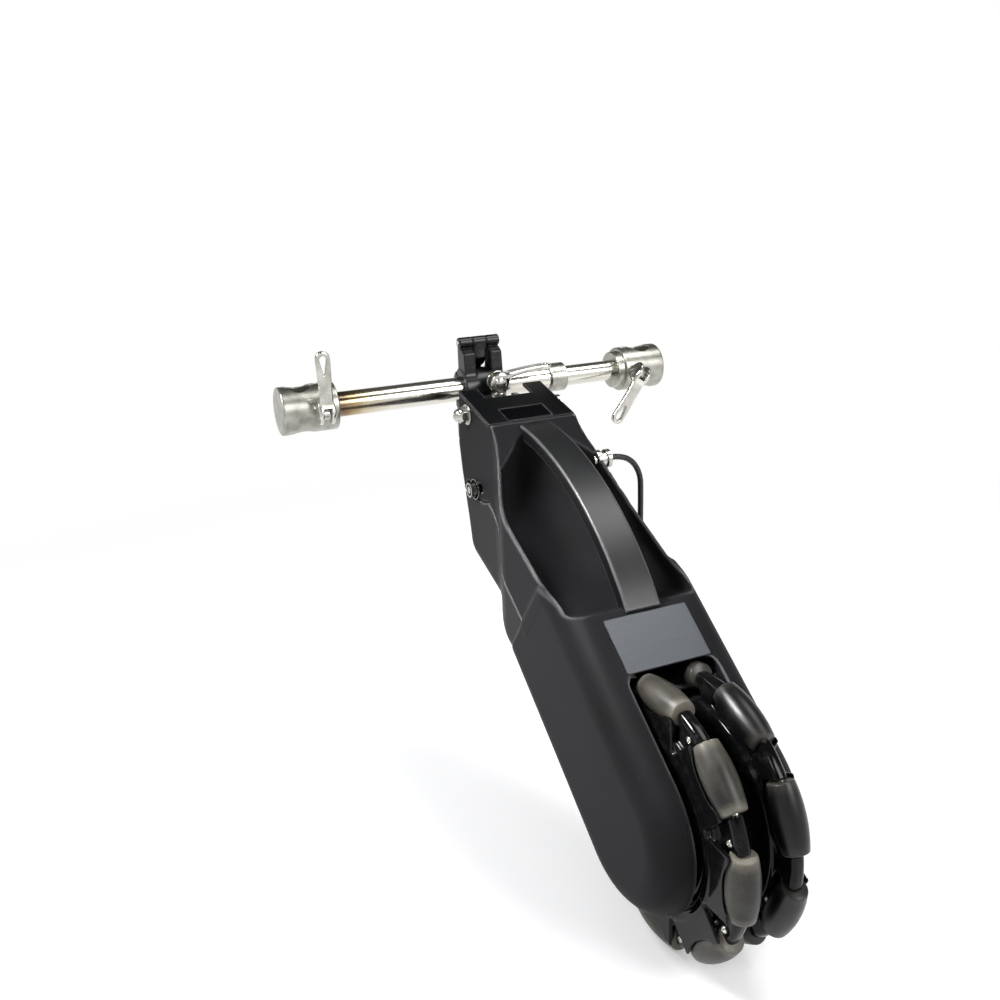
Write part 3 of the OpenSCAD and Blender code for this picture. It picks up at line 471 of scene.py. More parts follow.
def outline(u, v, corners):
    # The distance from a closed outline, less than zero inside it.
    pts = np.asarray(corners, float)
    best, inside = np.full(u.shape, 1e12), np.zeros(u.shape, bool)
    for (ax, ay), (bx, by) in zip(pts, np.roll(pts, -1, 0)):
        ex, ey = bx - ax, by - ay
        t = np.clip(((u - ax) * ex + (v - ay) * ey) / (ex * ex + ey * ey), 0, 1)
        best = np.minimum(best, (u - ax - ex * t) ** 2 + (v - ay - ey * t) ** 2)
        if ey:
            inside ^= ((ay > v) != (by > v)) & (u < ex * (v - ay) / ey + ax)
    return np.where(inside, -1, 1) * np.sqrt(best)


def polar(r, deg):
    return r * math.cos(math.radians(deg)), r * math.sin(math.radians(deg))


def bracket(x, y, z):
    x = x - mid
    r = np.hypot(y, z)
    sector = outline(y, z, [(0, 0), polar(90, 62), (80, 0), (80, -80), (-80, -80)])
    hoop = rounded(np.maximum(np.maximum(r - hoop_r, bar_fit - r), -sector), x, -hoop_half, hoop_half, 1.0)
    leg = outline(y, z, [(-13, 5), (-10.5, 33), (-5, 36.5), (5, 38), (5, 16), (0, 14), (-13, 4)])
    legs = rounded(leg, np.abs(x), 7.6, 18.8, 1.0)
    knuckle = rounded(np.hypot(y, z - hinge_z) - 5, np.abs(x), 6.8, hoop_half, 0.7)
    cheek = outline(y, z, [(-16, -6), (-62, -6), (-74, -10), (-88, -70), (-80, -82), (-70, -81), (-32, -56),
                           (-16, -40)])
    cheek = smin(cheek, np.hypot(y - pivot_y, z - pivot_z) - 8, 3)
    cheeks = rounded(cheek, np.abs(x), 24, 30, 1.0)
    lip = rounded(np.maximum(np.abs(y + 30) - 16, np.abs(z + 9) - 3), x, -30, 12, 1.0)
    tie = rounded(np.maximum(np.abs(y + 52) - 6.5, np.abs(z + 9) - 3), x, -30, 30, 1.0)
    web = rounded(np.maximum(np.abs(y + 73) - 3, np.abs(z + 66) - 10), x, -30, 30, 1.0)
    whole = smin(smin(hoop, legs, 2.0), knuckle, 1.5)
    return smin(whole, smin(smin(cheeks, lip, 1.5), smin(tie, web, 1.5), 1.5), 2.5)


def jaw(x, y, z):
    x = x - mid
    r, h = np.hypot(y, z), np.hypot(y, z - hinge_z)
    inner_r = 11.3
    knuckle = rounded(h - 5, x, -6.5, 6.5, 0.6)
    tongue = outline(y, z, [(-4.5, 40), (-3, 27), (3, 20.6), polar(19.5, 59), polar(16, 50), polar(16, 28), (18, 24),
                            (5, 42)])
    tongue = rounded(tongue, x, -6.5, 6.5, 0.8)
    sector = outline(y, z, [(0, 0), polar(60, 56), (80, 0), (80, -80), (0, -80)])
    hoop = rounded(np.maximum(np.maximum(r - hoop_r, inner_r - r), sector), x, -hoop_half, hoop_half, 0.9)
    heel = rounded(outline(y, z, [(-3, -12), (14, -12), (12, -30), (0, -29.9), (-3, -26)]), x, -8, 18, 0.8)
    tail = rounded(np.maximum(np.maximum(h - 72, 66 - h), np.maximum(-y - 35.5, y - 2)), x, -8, 18, 0.9)
    whole = smin(smin(knuckle, tongue, 1.0), smin(hoop, smin(heel, tail, 2.0), 1.5), 2.0)
    whole = smax(whole, inner_r - r, 0.5)
    stud_slot = np.maximum(np.abs(x - (stud_x - mid)) - 3.6, y + 27)
    return smax(whole, -stud_slot, 0.7)


def black_paint():
    # Black stove paint on steel: satin, with the faint orange peel of a sprayed coat and thin grey rubs.
    m, t, face, spot = new_finish("black_stove_paint")
    rub = add(t, "ShaderNodeTexNoise", {"Vector": spot, "Scale": 1000 / 5.0, "Detail": 8.0, "Roughness": 0.7})
    tone = add(t, "ShaderNodeValToRGB", {"Fac": rub}, stops=((0.56, "#08090a"), (0.80, "#3a3c3e")))
    peel = add(t, "ShaderNodeTexNoise", {"Vector": spot, "Scale": 1000 / 1.6, "Detail": 1.0})
    bump = add(t, "ShaderNodeBump", {"Height": peel, "Strength": 0.10, "Distance": 0.0004})
    feed(t, face, {"Base Color": tone, "Normal": bump, "Roughness": 0.30, "Specular IOR Level": 0.34})
    return m


stove_paint = black_paint()
piece_of("bar_clamp_bracket", skin(bracket, (138, -91, -85), (202, 20, 49), 0.95), stove_paint, "crossbar",
         "black_metal", "clamp_bracket")
piece_of("bar_clamp_jaw", skin(jaw, (149, -38, -32), (191, 27, 49), 0.85), stove_paint, "jaw", "black_metal",
         "clamp_jaw")


# The hardware: bright zinc-plated steel pins, washers and bolts, turned or rolled, with hexagon heads or sockets.
# The pivot has a dome nut on the left, the travel stop a socket screw that runs in the body's slot.
def bright_steel():
    # Bright plated steel: smooth, a little grey, with slow stains and hairline handling marks.
    m, t, face, spot = new_finish("bright_plated_steel")
    stain = add(t, "ShaderNodeTexNoise", {"Vector": spot, "Scale": 1000 / 6.0, "Detail": 5.0})
    tone = add(t, "ShaderNodeValToRGB", {"Fac": stain}, stops=((0, "#9a9890"), (1, "#d2d1cc")))
    marks = add(t, "ShaderNodeTexNoise", {"Vector": spot, "Scale": 1000 / 0.7, "Detail": 2.0})
    gloss = add(t, "ShaderNodeMapRange", {"Value": marks, "To Min": 0.14, "To Max": 0.34})
    feed(t, face, {"Base Color": tone, "Roughness": gloss, "Metallic": 1.0})
    return m


def hexagon(u, v, across):
    return np.maximum(np.maximum(np.abs(u), np.abs(0.5 * u + 0.866 * v)), np.abs(0.5 * u - 0.866 * v)) - across / 2


def dome_nut(x, y, z):
    six = rounded(hexagon(y, z, 13), x, -48.2, -41.5, 0.4)
    six = smax(six, np.hypot(np.hypot(y, z), (x + 41) * 0.8) - 8.6, 0.5)
    dome = smax(np.sqrt((x + 47) ** 2 + y ** 2 + z ** 2) - 6.2, x + 45, 0.4)
    return smin(six, dome, 0.5)


def bolt_head(x, y, z):
    head = rounded(np.hypot(y, z) - 7, x, 41.5, 48, 1.2)
    return smax(head, -np.maximum(hexagon(y, z, 6), 44.5 - x), 0.4)


def stop_screw(x, y, z):
    head = rounded(np.hypot(y, z) - 6.5, x, -46.8, -41.8, 1.3)
    head = smax(head, -np.maximum(hexagon(y, z, 5), x + 44.3), 0.4)
    return np.minimum(head, rounded(np.hypot(y, z) - 9, x, -41.8, -40.3, 0.3))


steel = bright_steel()
pivot_at, stop_at = Matrix.Translation((mid, pivot_y, pivot_z)), Matrix.Translation((mid, -78, -72))
dress(steel, "left_skewer", "right_skewer", "hinge_pin", "clamp_stud", "barrel_nut", "axle", "axle_nuts",
      "wheel_bearings", "roller_pins", "pivot_bolt", "limit_bolt")
washer = [(40, 4.1), (40, 8.7), (40.3, 9), (41.2, 9), (41.5, 8.7), (41.5, 4.1), (40, 4.1)]
stud_at = Matrix.Translation((stud_x, stud_y, -6)) @ Matrix.Rotation(math.radians(-90), 4, "Y")
spacer = [(0, 3.05), (0, 6.9), (0.4, 7.25), (2.4, 7.25), (2.8, 6.9), (2.8, 3.05), (0, 3.05)]
pin_dome = [(6.55, 0.01), (6.55, 5.3), (6.9, 5.6)]
pin_dome += [(6.9 + 2.2 * math.sin(a), 5.6 * math.cos(a)) for a in np.linspace(0.12, 1.5, 12)] + [(9.1, 0.01)]
for name, body, mesh, *nodes in (
        ("pivot_dome_nut", "drive_unit", skin(dome_nut, (-55, -9, -9), (-40, 9, 9), 0.42, place=pivot_at), "pivot_nut"),
        ("pivot_bolt_head", "drive_unit", skin(bolt_head, (40, -9, -9), (50, 9, 9), 0.45, place=pivot_at)),
        ("travel_stop_screw", "crossbar", skin(stop_screw, (-49, -11, -11), (-39, 11, 11), 0.42, place=stop_at)),
        ("pivot_washer_right", "drive_unit", turned(washer, pivot_at), "pivot_washers"),
        ("pivot_washer_left", "drive_unit", turned(washer, pivot_at @ Matrix.Rotation(math.pi, 4, "Z"))),
        ("stud_washer_low", "crossbar", turned(spacer, stud_at), "clamp_washers"),
        ("stud_washer_high", "crossbar", turned(spacer, stud_at @ Matrix.Translation((2.85, 0, 0)))),
        ("lever_pin_dome", "cam_lever", turned(pin_dome, clamp_at), "clamp_lever_pin")):
    piece_of(name, mesh, steel, body, "steel", *nodes)


# The housing: two injection-moulded ABS shells, charcoal with a fine spark-eroded grain, 3.5 mm thick. The upper one
# forms the nose, the hand bowl and the two pods beside the wheel; the belly closes it from below along a seam.
axle_y, axle_z = -348, -238
slope = math.radians(37)
ca, sa = math.cos(slope), math.sin(slope)
plate_back, plate_front = -111, -46


def sn(s, n):
    # A point on the pods' slope: s runs up it from the axle, n stands off it.
    return axle_y + s * ca - n * sa, axle_z + s * sa + n * ca


def from_slope(x, s, n):
    return x + mid, *sn(s, n)


def to_slope(y, z):
    return (y - axle_y) * ca + (z - axle_z) * sa, -(y - axle_y) * sa + (z - axle_z) * ca


def plate_z(y):
    return 9 + (y - plate_front) * 17 / 67


def ease(t):
    t = np.clip(t, 0, 1)
    return t * t * (3 - 2 * t)


def seam_n(s):
    return -11 - 6 * (s - 160) / 82


def half_width(y):
    return 40 + 17 * ease((-116 - y) / 58)


def nose_channel(x, y, z):
    return rounded(np.maximum(-105 - y, np.abs(z + 28) - 68), x, -34, 34, 2.0)


def upper_shell(x, y, z):
    x = x - mid
    s, n = to_slope(y, z)
    side = outline(y, z, [(plate_front, plate_z(plate_front) - 1.4), (plate_back, plate_z(plate_back) - 1.4),
                          (plate_back, plate_z(plate_back)), (-114, plate_z(-114)), (-137, -32), (-162, -62),
                          (-175, -72), (-207, -87), sn(171, 42), sn(160, 42), sn(160, seam_n(160)),
                          sn(242, seam_n(242)), (-104, -77), (-92, -80), (-51, -80), (-46, -63), (-41, -38),
                          (-42, -30)])
    body = meet(side, (np.abs(x) - half_width(y)) * 0.92, 2.0)
    pod = rounded(np.where(s < 0, np.hypot(s, n), np.abs(n)) - 64, x, -60, 60, 26)
    pod = smax(pod, s - 172, 4.0)
    scarf = outline(y, z, [sn(200, 30), sn(171, 42), sn(150, 53), sn(128, 64.6), sn(124, 120), sn(200, 120)])
    pod = smax(pod, -scarf, 3.0)
    whole = smin(body, pod, 5.0)
    bed = 9
    trough = (bed + 0.0058 * x * x - n) / np.hypot(1, 0.0116 * x)
    dip = [(along, bed + 63 * ((240 - along) / 114) ** 3.6) for along in np.linspace(126, 236, 23)]
    dip += [(along, bed + 31 * ((along - 240) / 72) ** 2.4) for along in np.linspace(244, 316, 16)]
    ends = outline(y, z, [sn(*p) for p in dip] + [sn(332, 120), sn(126, 120)])
    span = (np.abs(x) - np.minimum(15 + 50 * ease((-113 - y) / 52), half_width(y) - 3.6)) * 0.7
    bowl = smax(smax(trough, ends, 16.0), span, 5.0)
    whole = smax(whole, -bowl, 1.6)
    well = rounded(np.hypot(s, n) - 101.6, x, -36, 36, 8.0)
    whole = smax(whole, -well, 1.4)
    whole = smax(whole, -nose_channel(x, y, z), 1.5)
    stop_r, slot_mid, slot_half = 65.11, math.radians(-100.62 + 3), math.radians(12)
    turn = np.arctan2(z - pivot_z, y - pivot_y) - slot_mid
    near = slot_mid + np.clip(turn, -slot_half, slot_half)
    slot = np.hypot(y - pivot_y - stop_r * np.cos(near), z - pivot_z - stop_r * np.sin(near)) - 4.4
    return smax(whole, -np.maximum(slot, x + 30), 0.8)


def belly_shell(x, y, z):
    x = x - mid
    back, front = sn(172, -64), (-75, -149)
    run_y, run_z = front[0] - back[0], front[1] - back[1]
    up = ((y - back[0]) * -run_z + (z - back[1]) * run_y) / math.hypot(run_y, run_z)
    side = outline(y, z, [back, sn(172, seam_n(172) - 0.5), sn(242, seam_n(242) - 0.5), (-104, -77.5), (-92, -80.5),
                          (-51.5, -80.5), (-58, -104), (-66, -138), front])
    tub = meet(np.abs(x) - half_width(y), -up, 20)
    return smax(meet(side, tub, 1.6), -nose_channel(x, y, z), 1.5)


def moulded_plastic(name, dark, pale, rough, depth, shine, rub):
    # Moulded plastic: slow tone changes where the melt flowed, a fine grain from the mould, pale scuffs, a little dust,
    # and a painted highlight that makes edges lighter where they bend outward; rub sets how strong that painted
    # highlight is.
    m, t, face, spot = new_finish(name)
    flow = add(t, "ShaderNodeTexNoise", {"Vector": spot, "Scale": 1000 / 70.0, "Detail": 2.0})
    tone = add(t, "ShaderNodeValToRGB", {"Fac": flow}, stops=((0.3, dark), (0.7, pale)))
    brush = add(t, "ShaderNodeMapping", {"Vector": spot, "Rotation": (0.64, 0.2, 0.1), "Scale": (500, 22, 300)})
    scuff = add(t, "ShaderNodeTexNoise", {"Vector": brush, "Scale": 1.0, "Detail": 4.0})
    scuffed = add(t, "ShaderNodeMapRange", {"Value": scuff, "From Min": 0.70, "From Max": 0.86, "To Max": 0.06})
    speck = add(t, "ShaderNodeTexNoise", {"Vector": spot, "Scale": 1000 / 2.6, "Detail": 3.0})
    specked = add(t, "ShaderNodeMapRange", {"Value": speck, "From Min": 0.72, "From Max": 0.80, "To Max": 0.06})
    worn = add(t, "ShaderNodeMath", {0: scuffed, 1: specked}, operation="ADD")
    mixed = add(t, "ShaderNodeMix", {0: worn, 6: tone, 7: linear("#a5a39d")}, data_type="RGBA").outputs[2]
    # Painted highlight: the more sharply the surface bends outward, the lighter its colour, up to rub.
    edge = add(t, "ShaderNodeAttribute", attribute_name="edge").outputs["Fac"]
    edge_highlight_mask = add(t, "ShaderNodeMapRange", {"Value": edge, "From Min": 0.14, "From Max": 0.55, "To Max": rub})
    edge_highlighted_tone = add(t, "ShaderNodeMix", {0: edge_highlight_mask, 6: mixed, 7: linear("#8a8a8c")}, data_type="RGBA").outputs[2]
    # The real grain is about 0.15 mm; it is drawn at 0.8 mm so that it shows.
    pits = add(t, "ShaderNodeTexNoise", {"Vector": spot, "Scale": 1000 / 0.8, "Detail": 2.0})
    bump = add(t, "ShaderNodeBump", {"Height": pits, "Strength": depth, "Distance": 0.0003})
    gloss = add(t, "ShaderNodeMapRange", {"Value": flow, "To Min": rough - 0.06, "To Max": rough + 0.08})
    feed(t, face, {"Base Color": edge_highlighted_tone, "Roughness": gloss, "Normal": bump, "Specular IOR Level": shine})
    return m


shell_abs = moulded_plastic("charcoal_abs", "#131314", "#19191b", 0.48, 0.16, 0.045, 0.19)
piece_of("upper_housing", skin(upper_shell, (-63, -68, -68), (63, 394, 70), 1.75, warp=from_slope), shell_abs,
         "drive_unit", "shell_grey", "upper_shell")
# Painted light: the belly's ABS is coloured a little lighter and warmer than the upper shell, standing for the floor's
# bounce light on the underside.
bounce_lit_belly_abs = moulded_plastic("bounce_lit_belly_abs", "#1a1a1a", "#212120", 0.50, 0.16, 0.08, 0.18)
piece_of("belly_housing", skin(belly_shell, (108, -262, -190), (232, -46, -70), 1.5), bounce_lit_belly_abs, "drive_unit",
         "belly_grey", "belly_shell")


# The top plate: a near-black ABS cover on the nose, 80 mm wide and 3 mm thick, notched at the front for the clamp.
# A smoked polycarbonate window of 40 by 20 mm is let into it over the charge lights.
window_y, window_half_x, window_half_y = -98, 20, 10


def top_plate(x, y, z):
    x = x - mid
    flat = outline(y, z, [(plate_front, plate_z(plate_front)), (plate_front, plate_z(plate_front) - 3),
                          (plate_back, plate_z(plate_back) - 3), (plate_back, plate_z(plate_back))])
    plate = rounded(flat, x, -40, 40, 0.9)
    plate = smax(plate, -np.maximum(np.abs(x) - 22, -65 - y), 0.9)
    recess = np.maximum(np.abs(x) - window_half_x - 0.2, np.abs(y - window_y) - window_half_y - 0.2)
    return smax(plate, -np.maximum(recess, plate_z(y) - 1.5 - z), 0.5)


def smoked_window(x, y, z):
    pane = np.maximum(np.abs(x - mid) - window_half_x, np.abs(y - window_y) - window_half_y)
    return rounded(pane, z - plate_z(y), -1.6, -0.25, 0.5)


plate_abs = moulded_plastic("black_cover_abs", "#060607", "#0a0b0c", 0.38, 0.06, 0.05, 0.10)
piece_of("nose_cover", skin(top_plate, (128, -113, -12), (212, -44, 11), 0.8), plate_abs, "drive_unit", "plate_black",
         "top_plate")
smoke = moulded_plastic("smoked_polycarbonate", "#020203", "#040405", 0.16, 0.02, 0.05, 0.0)
piece_of("charge_window", skin(smoked_window, (148, -110, -12), (192, -86, 2), 0.6), smoke, "drive_unit",
         "window_black", "window")


# The carry handle: a flat strap of black glass-filled nylon, 29 by 12 mm, that arches over the hand bowl from the
# top plate to the label. Below it lies the rating plate, a grey foil that is left bare here.
def arch(a, b, c):
    # The centre of the circle through three points.
    d = 2 * (a[0] * (b[1] - c[1]) + b[0] * (c[1] - a[1]) + c[0] * (a[1] - b[1]))
    sq = [p[0] ** 2 + p[1] ** 2 for p in (a, b, c)]
    return ((sq[0] * (b[1] - c[1]) + sq[1] * (c[1] - a[1]) + sq[2] * (a[1] - b[1])) / d,
            (sq[0] * (c[0] - b[0]) + sq[1] * (a[0] - c[0]) + sq[2] * (b[0] - a[0])) / d)


handle_low = sn(125, 66.5)
handle_c = arch(handle_low, sn(215, 77), (-114.5, -10))
handle_r = math.hypot(handle_low[0] - handle_c[0], handle_low[1] - handle_c[1])


def carry_handle(x, y, z):
    r = np.hypot(y - handle_c[0], z - handle_c[1])
    strap = rounded(np.abs(r - handle_r + 6) - 6, x - mid, -14.5, 14.5, 2.2)
    return smax(strap, outline(y, z, [sn(125, 46), sn(125, 120), (-113.5, 60), (-113.5, -40)]), 1.2)


def label_foil(x, y, z):
    s, n = to_slope(y, z)
    plate = np.hypot(np.maximum(np.abs(x - mid) - 32.5, 0), np.maximum(np.abs(s - 101.5) - 20.1, 0)) - 1.5
    return rounded(plate, n, 63.6, 65.0, 0.35)


def brushed_foil():
    # Brushed aluminium foil with a grey print coat: fine straight lines across, a soft sheen, no print.
    m, t, face, spot = new_finish("brushed_grey_foil")
    lay = add(t, "ShaderNodeMapping", {"Vector": spot, "Scale": (30, 1600, 1600)})
    lines = add(t, "ShaderNodeTexNoise", {"Vector": lay, "Scale": 1.0, "Detail": 2.0})
    tone = add(t, "ShaderNodeValToRGB", {"Fac": lines}, stops=((0, "#2e3135"), (1, "#3b3e42")))
    bump = add(t, "ShaderNodeBump", {"Height": lines, "Strength": 0.06, "Distance": 0.0001})
    feed(t, face, {"Base Color": tone, "Normal": bump, "Metallic": 0.25, "Roughness": 0.38})
    return m


handle_nylon = moulded_plastic("handle_nylon", "#08080a", "#0f1011", 0.34, 0.14, 0.42, 0.22)
piece_of("carry_strap", skin(carry_handle, (153, -290, -125), (187, -108, 4), 0.9), handle_nylon, "drive_unit",
         "handle_black", "carry_handle")
piece_of("bare_label", skin(label_foil, (-36, 78, 61), (36, 125, 67), 0.7, warp=from_slope), brushed_foil(),
         "drive_unit", "label_grey", "label_plate")


# The power pack and the motor controller: a shrink-wrapped block of cells under the slope and a finned alloy case in
# the nose. They are closed in by the shells.
dress(moulded_plastic("shrink_wrap", "#0f1c33", "#16264a", 0.35, 0.05, 0.5, 0.0), "battery_pack")
dress(clamp_alloy, "controller")


# The omni wheel: a hub motor with two black nylon rims, each with eight bridges that carry barrel rollers across the
# rolling direction. The rows are turned half a pitch apart, so that one roller is always on the ground.
wheel_r, roller_path, row_x = 100, 88.5, 19.5
rim_turn, pitch, half_pitch = -1.5, 45, 22.5
hub = (mid / 1000, axle_y / 1000, axle_z / 1000)


def from_axle(x, deg, r):
    a = np.radians(deg)
    return x, axle_y + r * np.sin(a), axle_z + r * np.cos(a)


def rim(out, start):
    # One rim: out is its side of the wheel, start the turn of its first bridge.
    def field(x, y, z):
        x = (x - mid) * out
        r = np.hypot(y - axle_y, z - axle_z)
        deg = np.degrees(np.arctan2(-(y - axle_y), z - axle_z)) - start
        local = np.radians(deg - pitch * np.round(deg / pitch))
        across, deep = r * np.sin(local), r * np.cos(local)
        ring = rounded(np.maximum(r - 76, 60 - r), x, 11, 28, 1.5)
        arm = rounded(np.maximum(r - 95, 66 - r), x, 14, 25, 4.6)
        arm = smax(arm, -np.maximum(np.abs(across) - 23.7, 75 - deep), 1.0)
        lip = np.hypot(r - 67.5, x - 28.6) - 2.6
        guard = np.maximum(np.maximum(np.abs(across) - 25, deep - roller_path), 62 - r)
        guard = rounded(guard, x, 27, 31, 1.3)
        room = np.sqrt(wheel_r ** 2 - np.minimum(np.abs(across), 24) ** 2) - (roller_path - 1)
        guard = smax(guard, room - np.hypot(x - row_x, deep - roller_path), 1.0)
        return smin(smin(ring, arm, 2.5), smin(lip, guard, 1.5), 2.0)
    return field


def black_nylon():
    # Moulded black nylon with a high gloss: deep black, sharp reflections, fine hairlines and a trace of road dust.
    m, t, face, spot = new_finish("gloss_black_nylon")
    dust = add(t, "ShaderNodeTexNoise", {"Vector": spot, "Scale": 1000 / 7.0, "Detail": 6.0, "Roughness": 0.65})
    tone = add(t, "ShaderNodeValToRGB", {"Fac": dust}, stops=((0.5, "#070708"), (0.85, "#201f1e")))
    gloss = add(t, "ShaderNodeMapRange", {"Value": dust, "From Min": 0.3, "From Max": 0.8, "To Min": 0.06,
                                          "To Max": 0.17})
    wave = add(t, "ShaderNodeTexNoise", {"Vector": spot, "Scale": 1000 / 12.0, "Detail": 1.0})
    bump = add(t, "ShaderNodeBump", {"Height": wave, "Strength": 0.08, "Distance": 0.0006})
    feed(t, face, {"Base Color": tone, "Roughness": gloss, "Normal": bump, "Specular IOR Level": 0.14})
    return m


nylon = black_nylon()
cover = [(-28, 16), (-31.8, 16.4), (-32.4, 18), (-32.6, 40), (-31.8, 49), (-29.2, 55.5), (-27.4, 57.5), (-27, 59.85)]
can = cover + [(-a, r) for a, r in cover[::-1]] + [(23, 16), (23, 54), (-23, 54), (-23, 16), (-28, 16)]
piece_of("motor_can", turned(can, Matrix.Translation((mid, axle_y, axle_z)), 120), nylon, "wheel", "rim_black",
         "motor_shell")
dress(steel, "magnet_ring")
for side, out, start, low, high in (("left", -1, rim_turn, 137, 162), ("right", 1, rim_turn + half_pitch, 178, 203)):
    mesh = skin(rim(out, start), (low, 0, 57), (high, 360, 99), (1.1, 1.0, 1.1), warp=from_axle, ring=True)
    piece_of(side + "_rim", mesh, nylon, "wheel", "rim_black", "rim_" + side)


def copper_winding():
    # Enamelled copper on stacked steel: brown red with fine turns.
    m, t, face, spot = new_finish("enamelled_copper")
    wire = add(t, "ShaderNodeTexNoise", {"Vector": spot, "Scale": 1000 / 1.2, "Detail": 2.0})
    tone = add(t, "ShaderNodeValToRGB", {"Fac": wire}, stops=((0, "#5a2c18"), (1, "#a8623a")))
    feed(t, face, {"Base Color": tone, "Metallic": 0.8, "Roughness": 0.4})
    return m


dress(copper_winding(), "stator")


def pan_head(x, y, z):
    head = smax(np.sqrt((x + 2.6) ** 2 + y ** 2 + z ** 2) - 4.2, -x, 0.3)
    head = smax(head, np.hypot(y, z) - 2.7, 0.4)
    cross = np.minimum(np.maximum(np.abs(y) - 0.4, np.abs(z) - 1.7), np.maximum(np.abs(z) - 0.4, np.abs(y) - 1.7))
    return smax(head, -np.maximum(cross, 0.6 - x), 0.2)


screw = bpy.data.objects.new("screw_pattern", skin(pan_head, (-0.6, -3.3, -3.3), (2.4, 3.3, 3.3), 0.28))
screws, given = new_tree("bridge_screws", Count="Int", Circle="Float", Side="Float", Turn="Float", Screw="Object",
                         Metal="Material")
hoop = add(screws, "GeometryNodeMeshCircle", {"Vertices": given["Count"], "Radius": given["Circle"]})
stand = add(screws, "GeometryNodeTransform", {0: hoop, "Rotation": (0, math.pi / 2, 0)})
model = add(screws, "GeometryNodeObjectInfo", {"Object": given["Screw"]}).outputs["Geometry"]
spun = add(screws, "FunctionNodeRandomValue", {0: (0, 0, 0), 1: (6.2, 0, 0), "Seed": 7}, data_type="FLOAT_VECTOR")
heads = add(screws, "GeometryNodeInstanceOnPoints", {"Points": stand, "Instance": model, "Rotation": spun})
real = add(screws, "GeometryNodeRealizeInstances", {0: heads})
tilt = add(screws, "ShaderNodeCombineXYZ", {0: given["Turn"], 2: given["Side"]})
offset = add(screws, "GeometryNodeTransform", {0: real, "Translation": (0.025, 0, 0)})
put = add(screws, "GeometryNodeTransform", {0: offset, "Translation": hub, "Rotation": tilt})
metal = add(screws, "GeometryNodeSetMaterial", {0: put, "Material": given["Metal"]})
add(screws, "NodeGroupOutput", {"Geometry": metal})
for side, facing, start, nodes in (("right", 0.0, rim_turn, ["bridge_screws"]),
                                   ("left", math.pi, rim_turn + half_pitch, [])):
    mesh = grown(side + "_heads", screws, Count=8, Circle=0.0865, Side=facing, Turn=math.radians(start),
                 Screw=screw, Metal=steel)
    piece_of("bridge_screws_" + side, mesh, steel, "wheel", "steel", *nodes)
bpy.data.objects.remove(screw)


# The rollers: sixteen barrels of black rubber on steel pins, 46 mm long and 23 mm across, shaped so that their sides
# follow the wheel's circle. The left row is worn pale and dusty, the right row is still black.
def roller_rubber(name, clean, worn, share, low, high):
    # Moulded rubber: black that wears to a satin brown grey, with fine pits and dust on the barrel's ends.
    m, t, face, spot = new_finish(name)
    cloud = add(t, "ShaderNodeTexNoise", {"Vector": spot, "Scale": 1000 / 24.0, "Detail": 4.0, "Roughness": 0.5})
    fine = add(t, "ShaderNodeTexNoise", {"Vector": spot, "Scale": 1000 / 1.1, "Detail": 4.0, "Roughness": 0.7})
    blend = add(t, "ShaderNodeMath", {0: fine, 1: 0.35, 2: cloud}, operation="MULTIPLY_ADD")
    tone = add(t, "ShaderNodeValToRGB", {"Fac": blend}, stops=((0.82 - share, clean), (1.0 - share * 0.5, worn)))
    along = add(t, "ShaderNodeAttribute", attribute_name="along").outputs["Fac"]
    near_end = add(t, "ShaderNodeMath", {0: fine, 1: 0.25, 2: along}, operation="MULTIPLY_ADD")
    dusty = add(t, "ShaderNodeMapRange", {"Value": near_end, "From Min": 0.82, "From Max": 1.16,
                                          "To Max": share * 1.6})
    mixed = add(t, "ShaderNodeMix", {0: dusty, 6: tone, 7: linear("#7d796e")}, data_type="RGBA").outputs[2]
    bump = add(t, "ShaderNodeBump", {"Height": fine, "Strength": 0.16, "Distance": 0.0004})
    gloss = add(t, "ShaderNodeMapRange", {"Value": blend, "From Min": 0.4, "From Max": 0.9, "To Min": low,
                                          "To Max": high})
    feed(t, face, {"Base Color": mixed, "Roughness": gloss, "Normal": bump, "Specular IOR Level": 0.3})
    return m


barrel, given = new_tree("omni_roller", Length="Float", Wheel="Float", Path="Float", Round="Float", Row="Float",
                         Turn="Float", Rubber="Material")
where = add(barrel, "GeometryNodeInputPosition")
value = {key: given[key] for key in ("Length", "Wheel", "Path", "Round")}
value["y"] = add(barrel, "ShaderNodeSeparateXYZ", {0: where}).outputs["Y"]
# The girth follows the wheel's circle, less the path of the roller's pin, and falls off in a rounding at each end.
for result, operation, *terms in (
        ("half", "MULTIPLY", "Length", 0.5), ("minus", "MULTIPLY", "half", -1.0), ("y_sq", "POWER", "y", 2.0),
        ("y_abs", "ABSOLUTE", "y"), ("wheel_sq", "POWER", "Wheel", 2.0), ("rest", "SUBTRACT", "wheel_sq", "y_sq"),
        ("root", "SQRT", "rest"), ("bulge", "SUBTRACT", "root", "Path"), ("inner", "SUBTRACT", "half", "Round"),
        ("past", "SUBTRACT", "y_abs", "inner"), ("kept", "MAXIMUM", "past", 0.0), ("round_sq", "POWER", "Round", 2.0),
        ("kept_sq", "POWER", "kept", 2.0), ("inside", "SUBTRACT", "round_sq", "kept_sq"),
        ("sure", "MAXIMUM", "inside", 0.0), ("curl", "SQRT", "sure"), ("fall", "SUBTRACT", "Round", "curl"),
        ("girth", "SUBTRACT", "bulge", "fall"), ("reach", "DIVIDE", "y_abs", "half")):
    value[result] = add(barrel, "ShaderNodeMath", {i: value.get(term, term) for i, term in enumerate(terms)},
                        operation=operation)
end_a = add(barrel, "ShaderNodeCombineXYZ", {1: value["minus"]})
end_b = add(barrel, "ShaderNodeCombineXYZ", {1: value["half"]})
axis = add(barrel, "GeometryNodeCurvePrimitiveLine", {"Start": end_a, "End": end_b})
fine = add(barrel, "GeometryNodeResampleCurve", {"Curve": axis, "Count": 93})
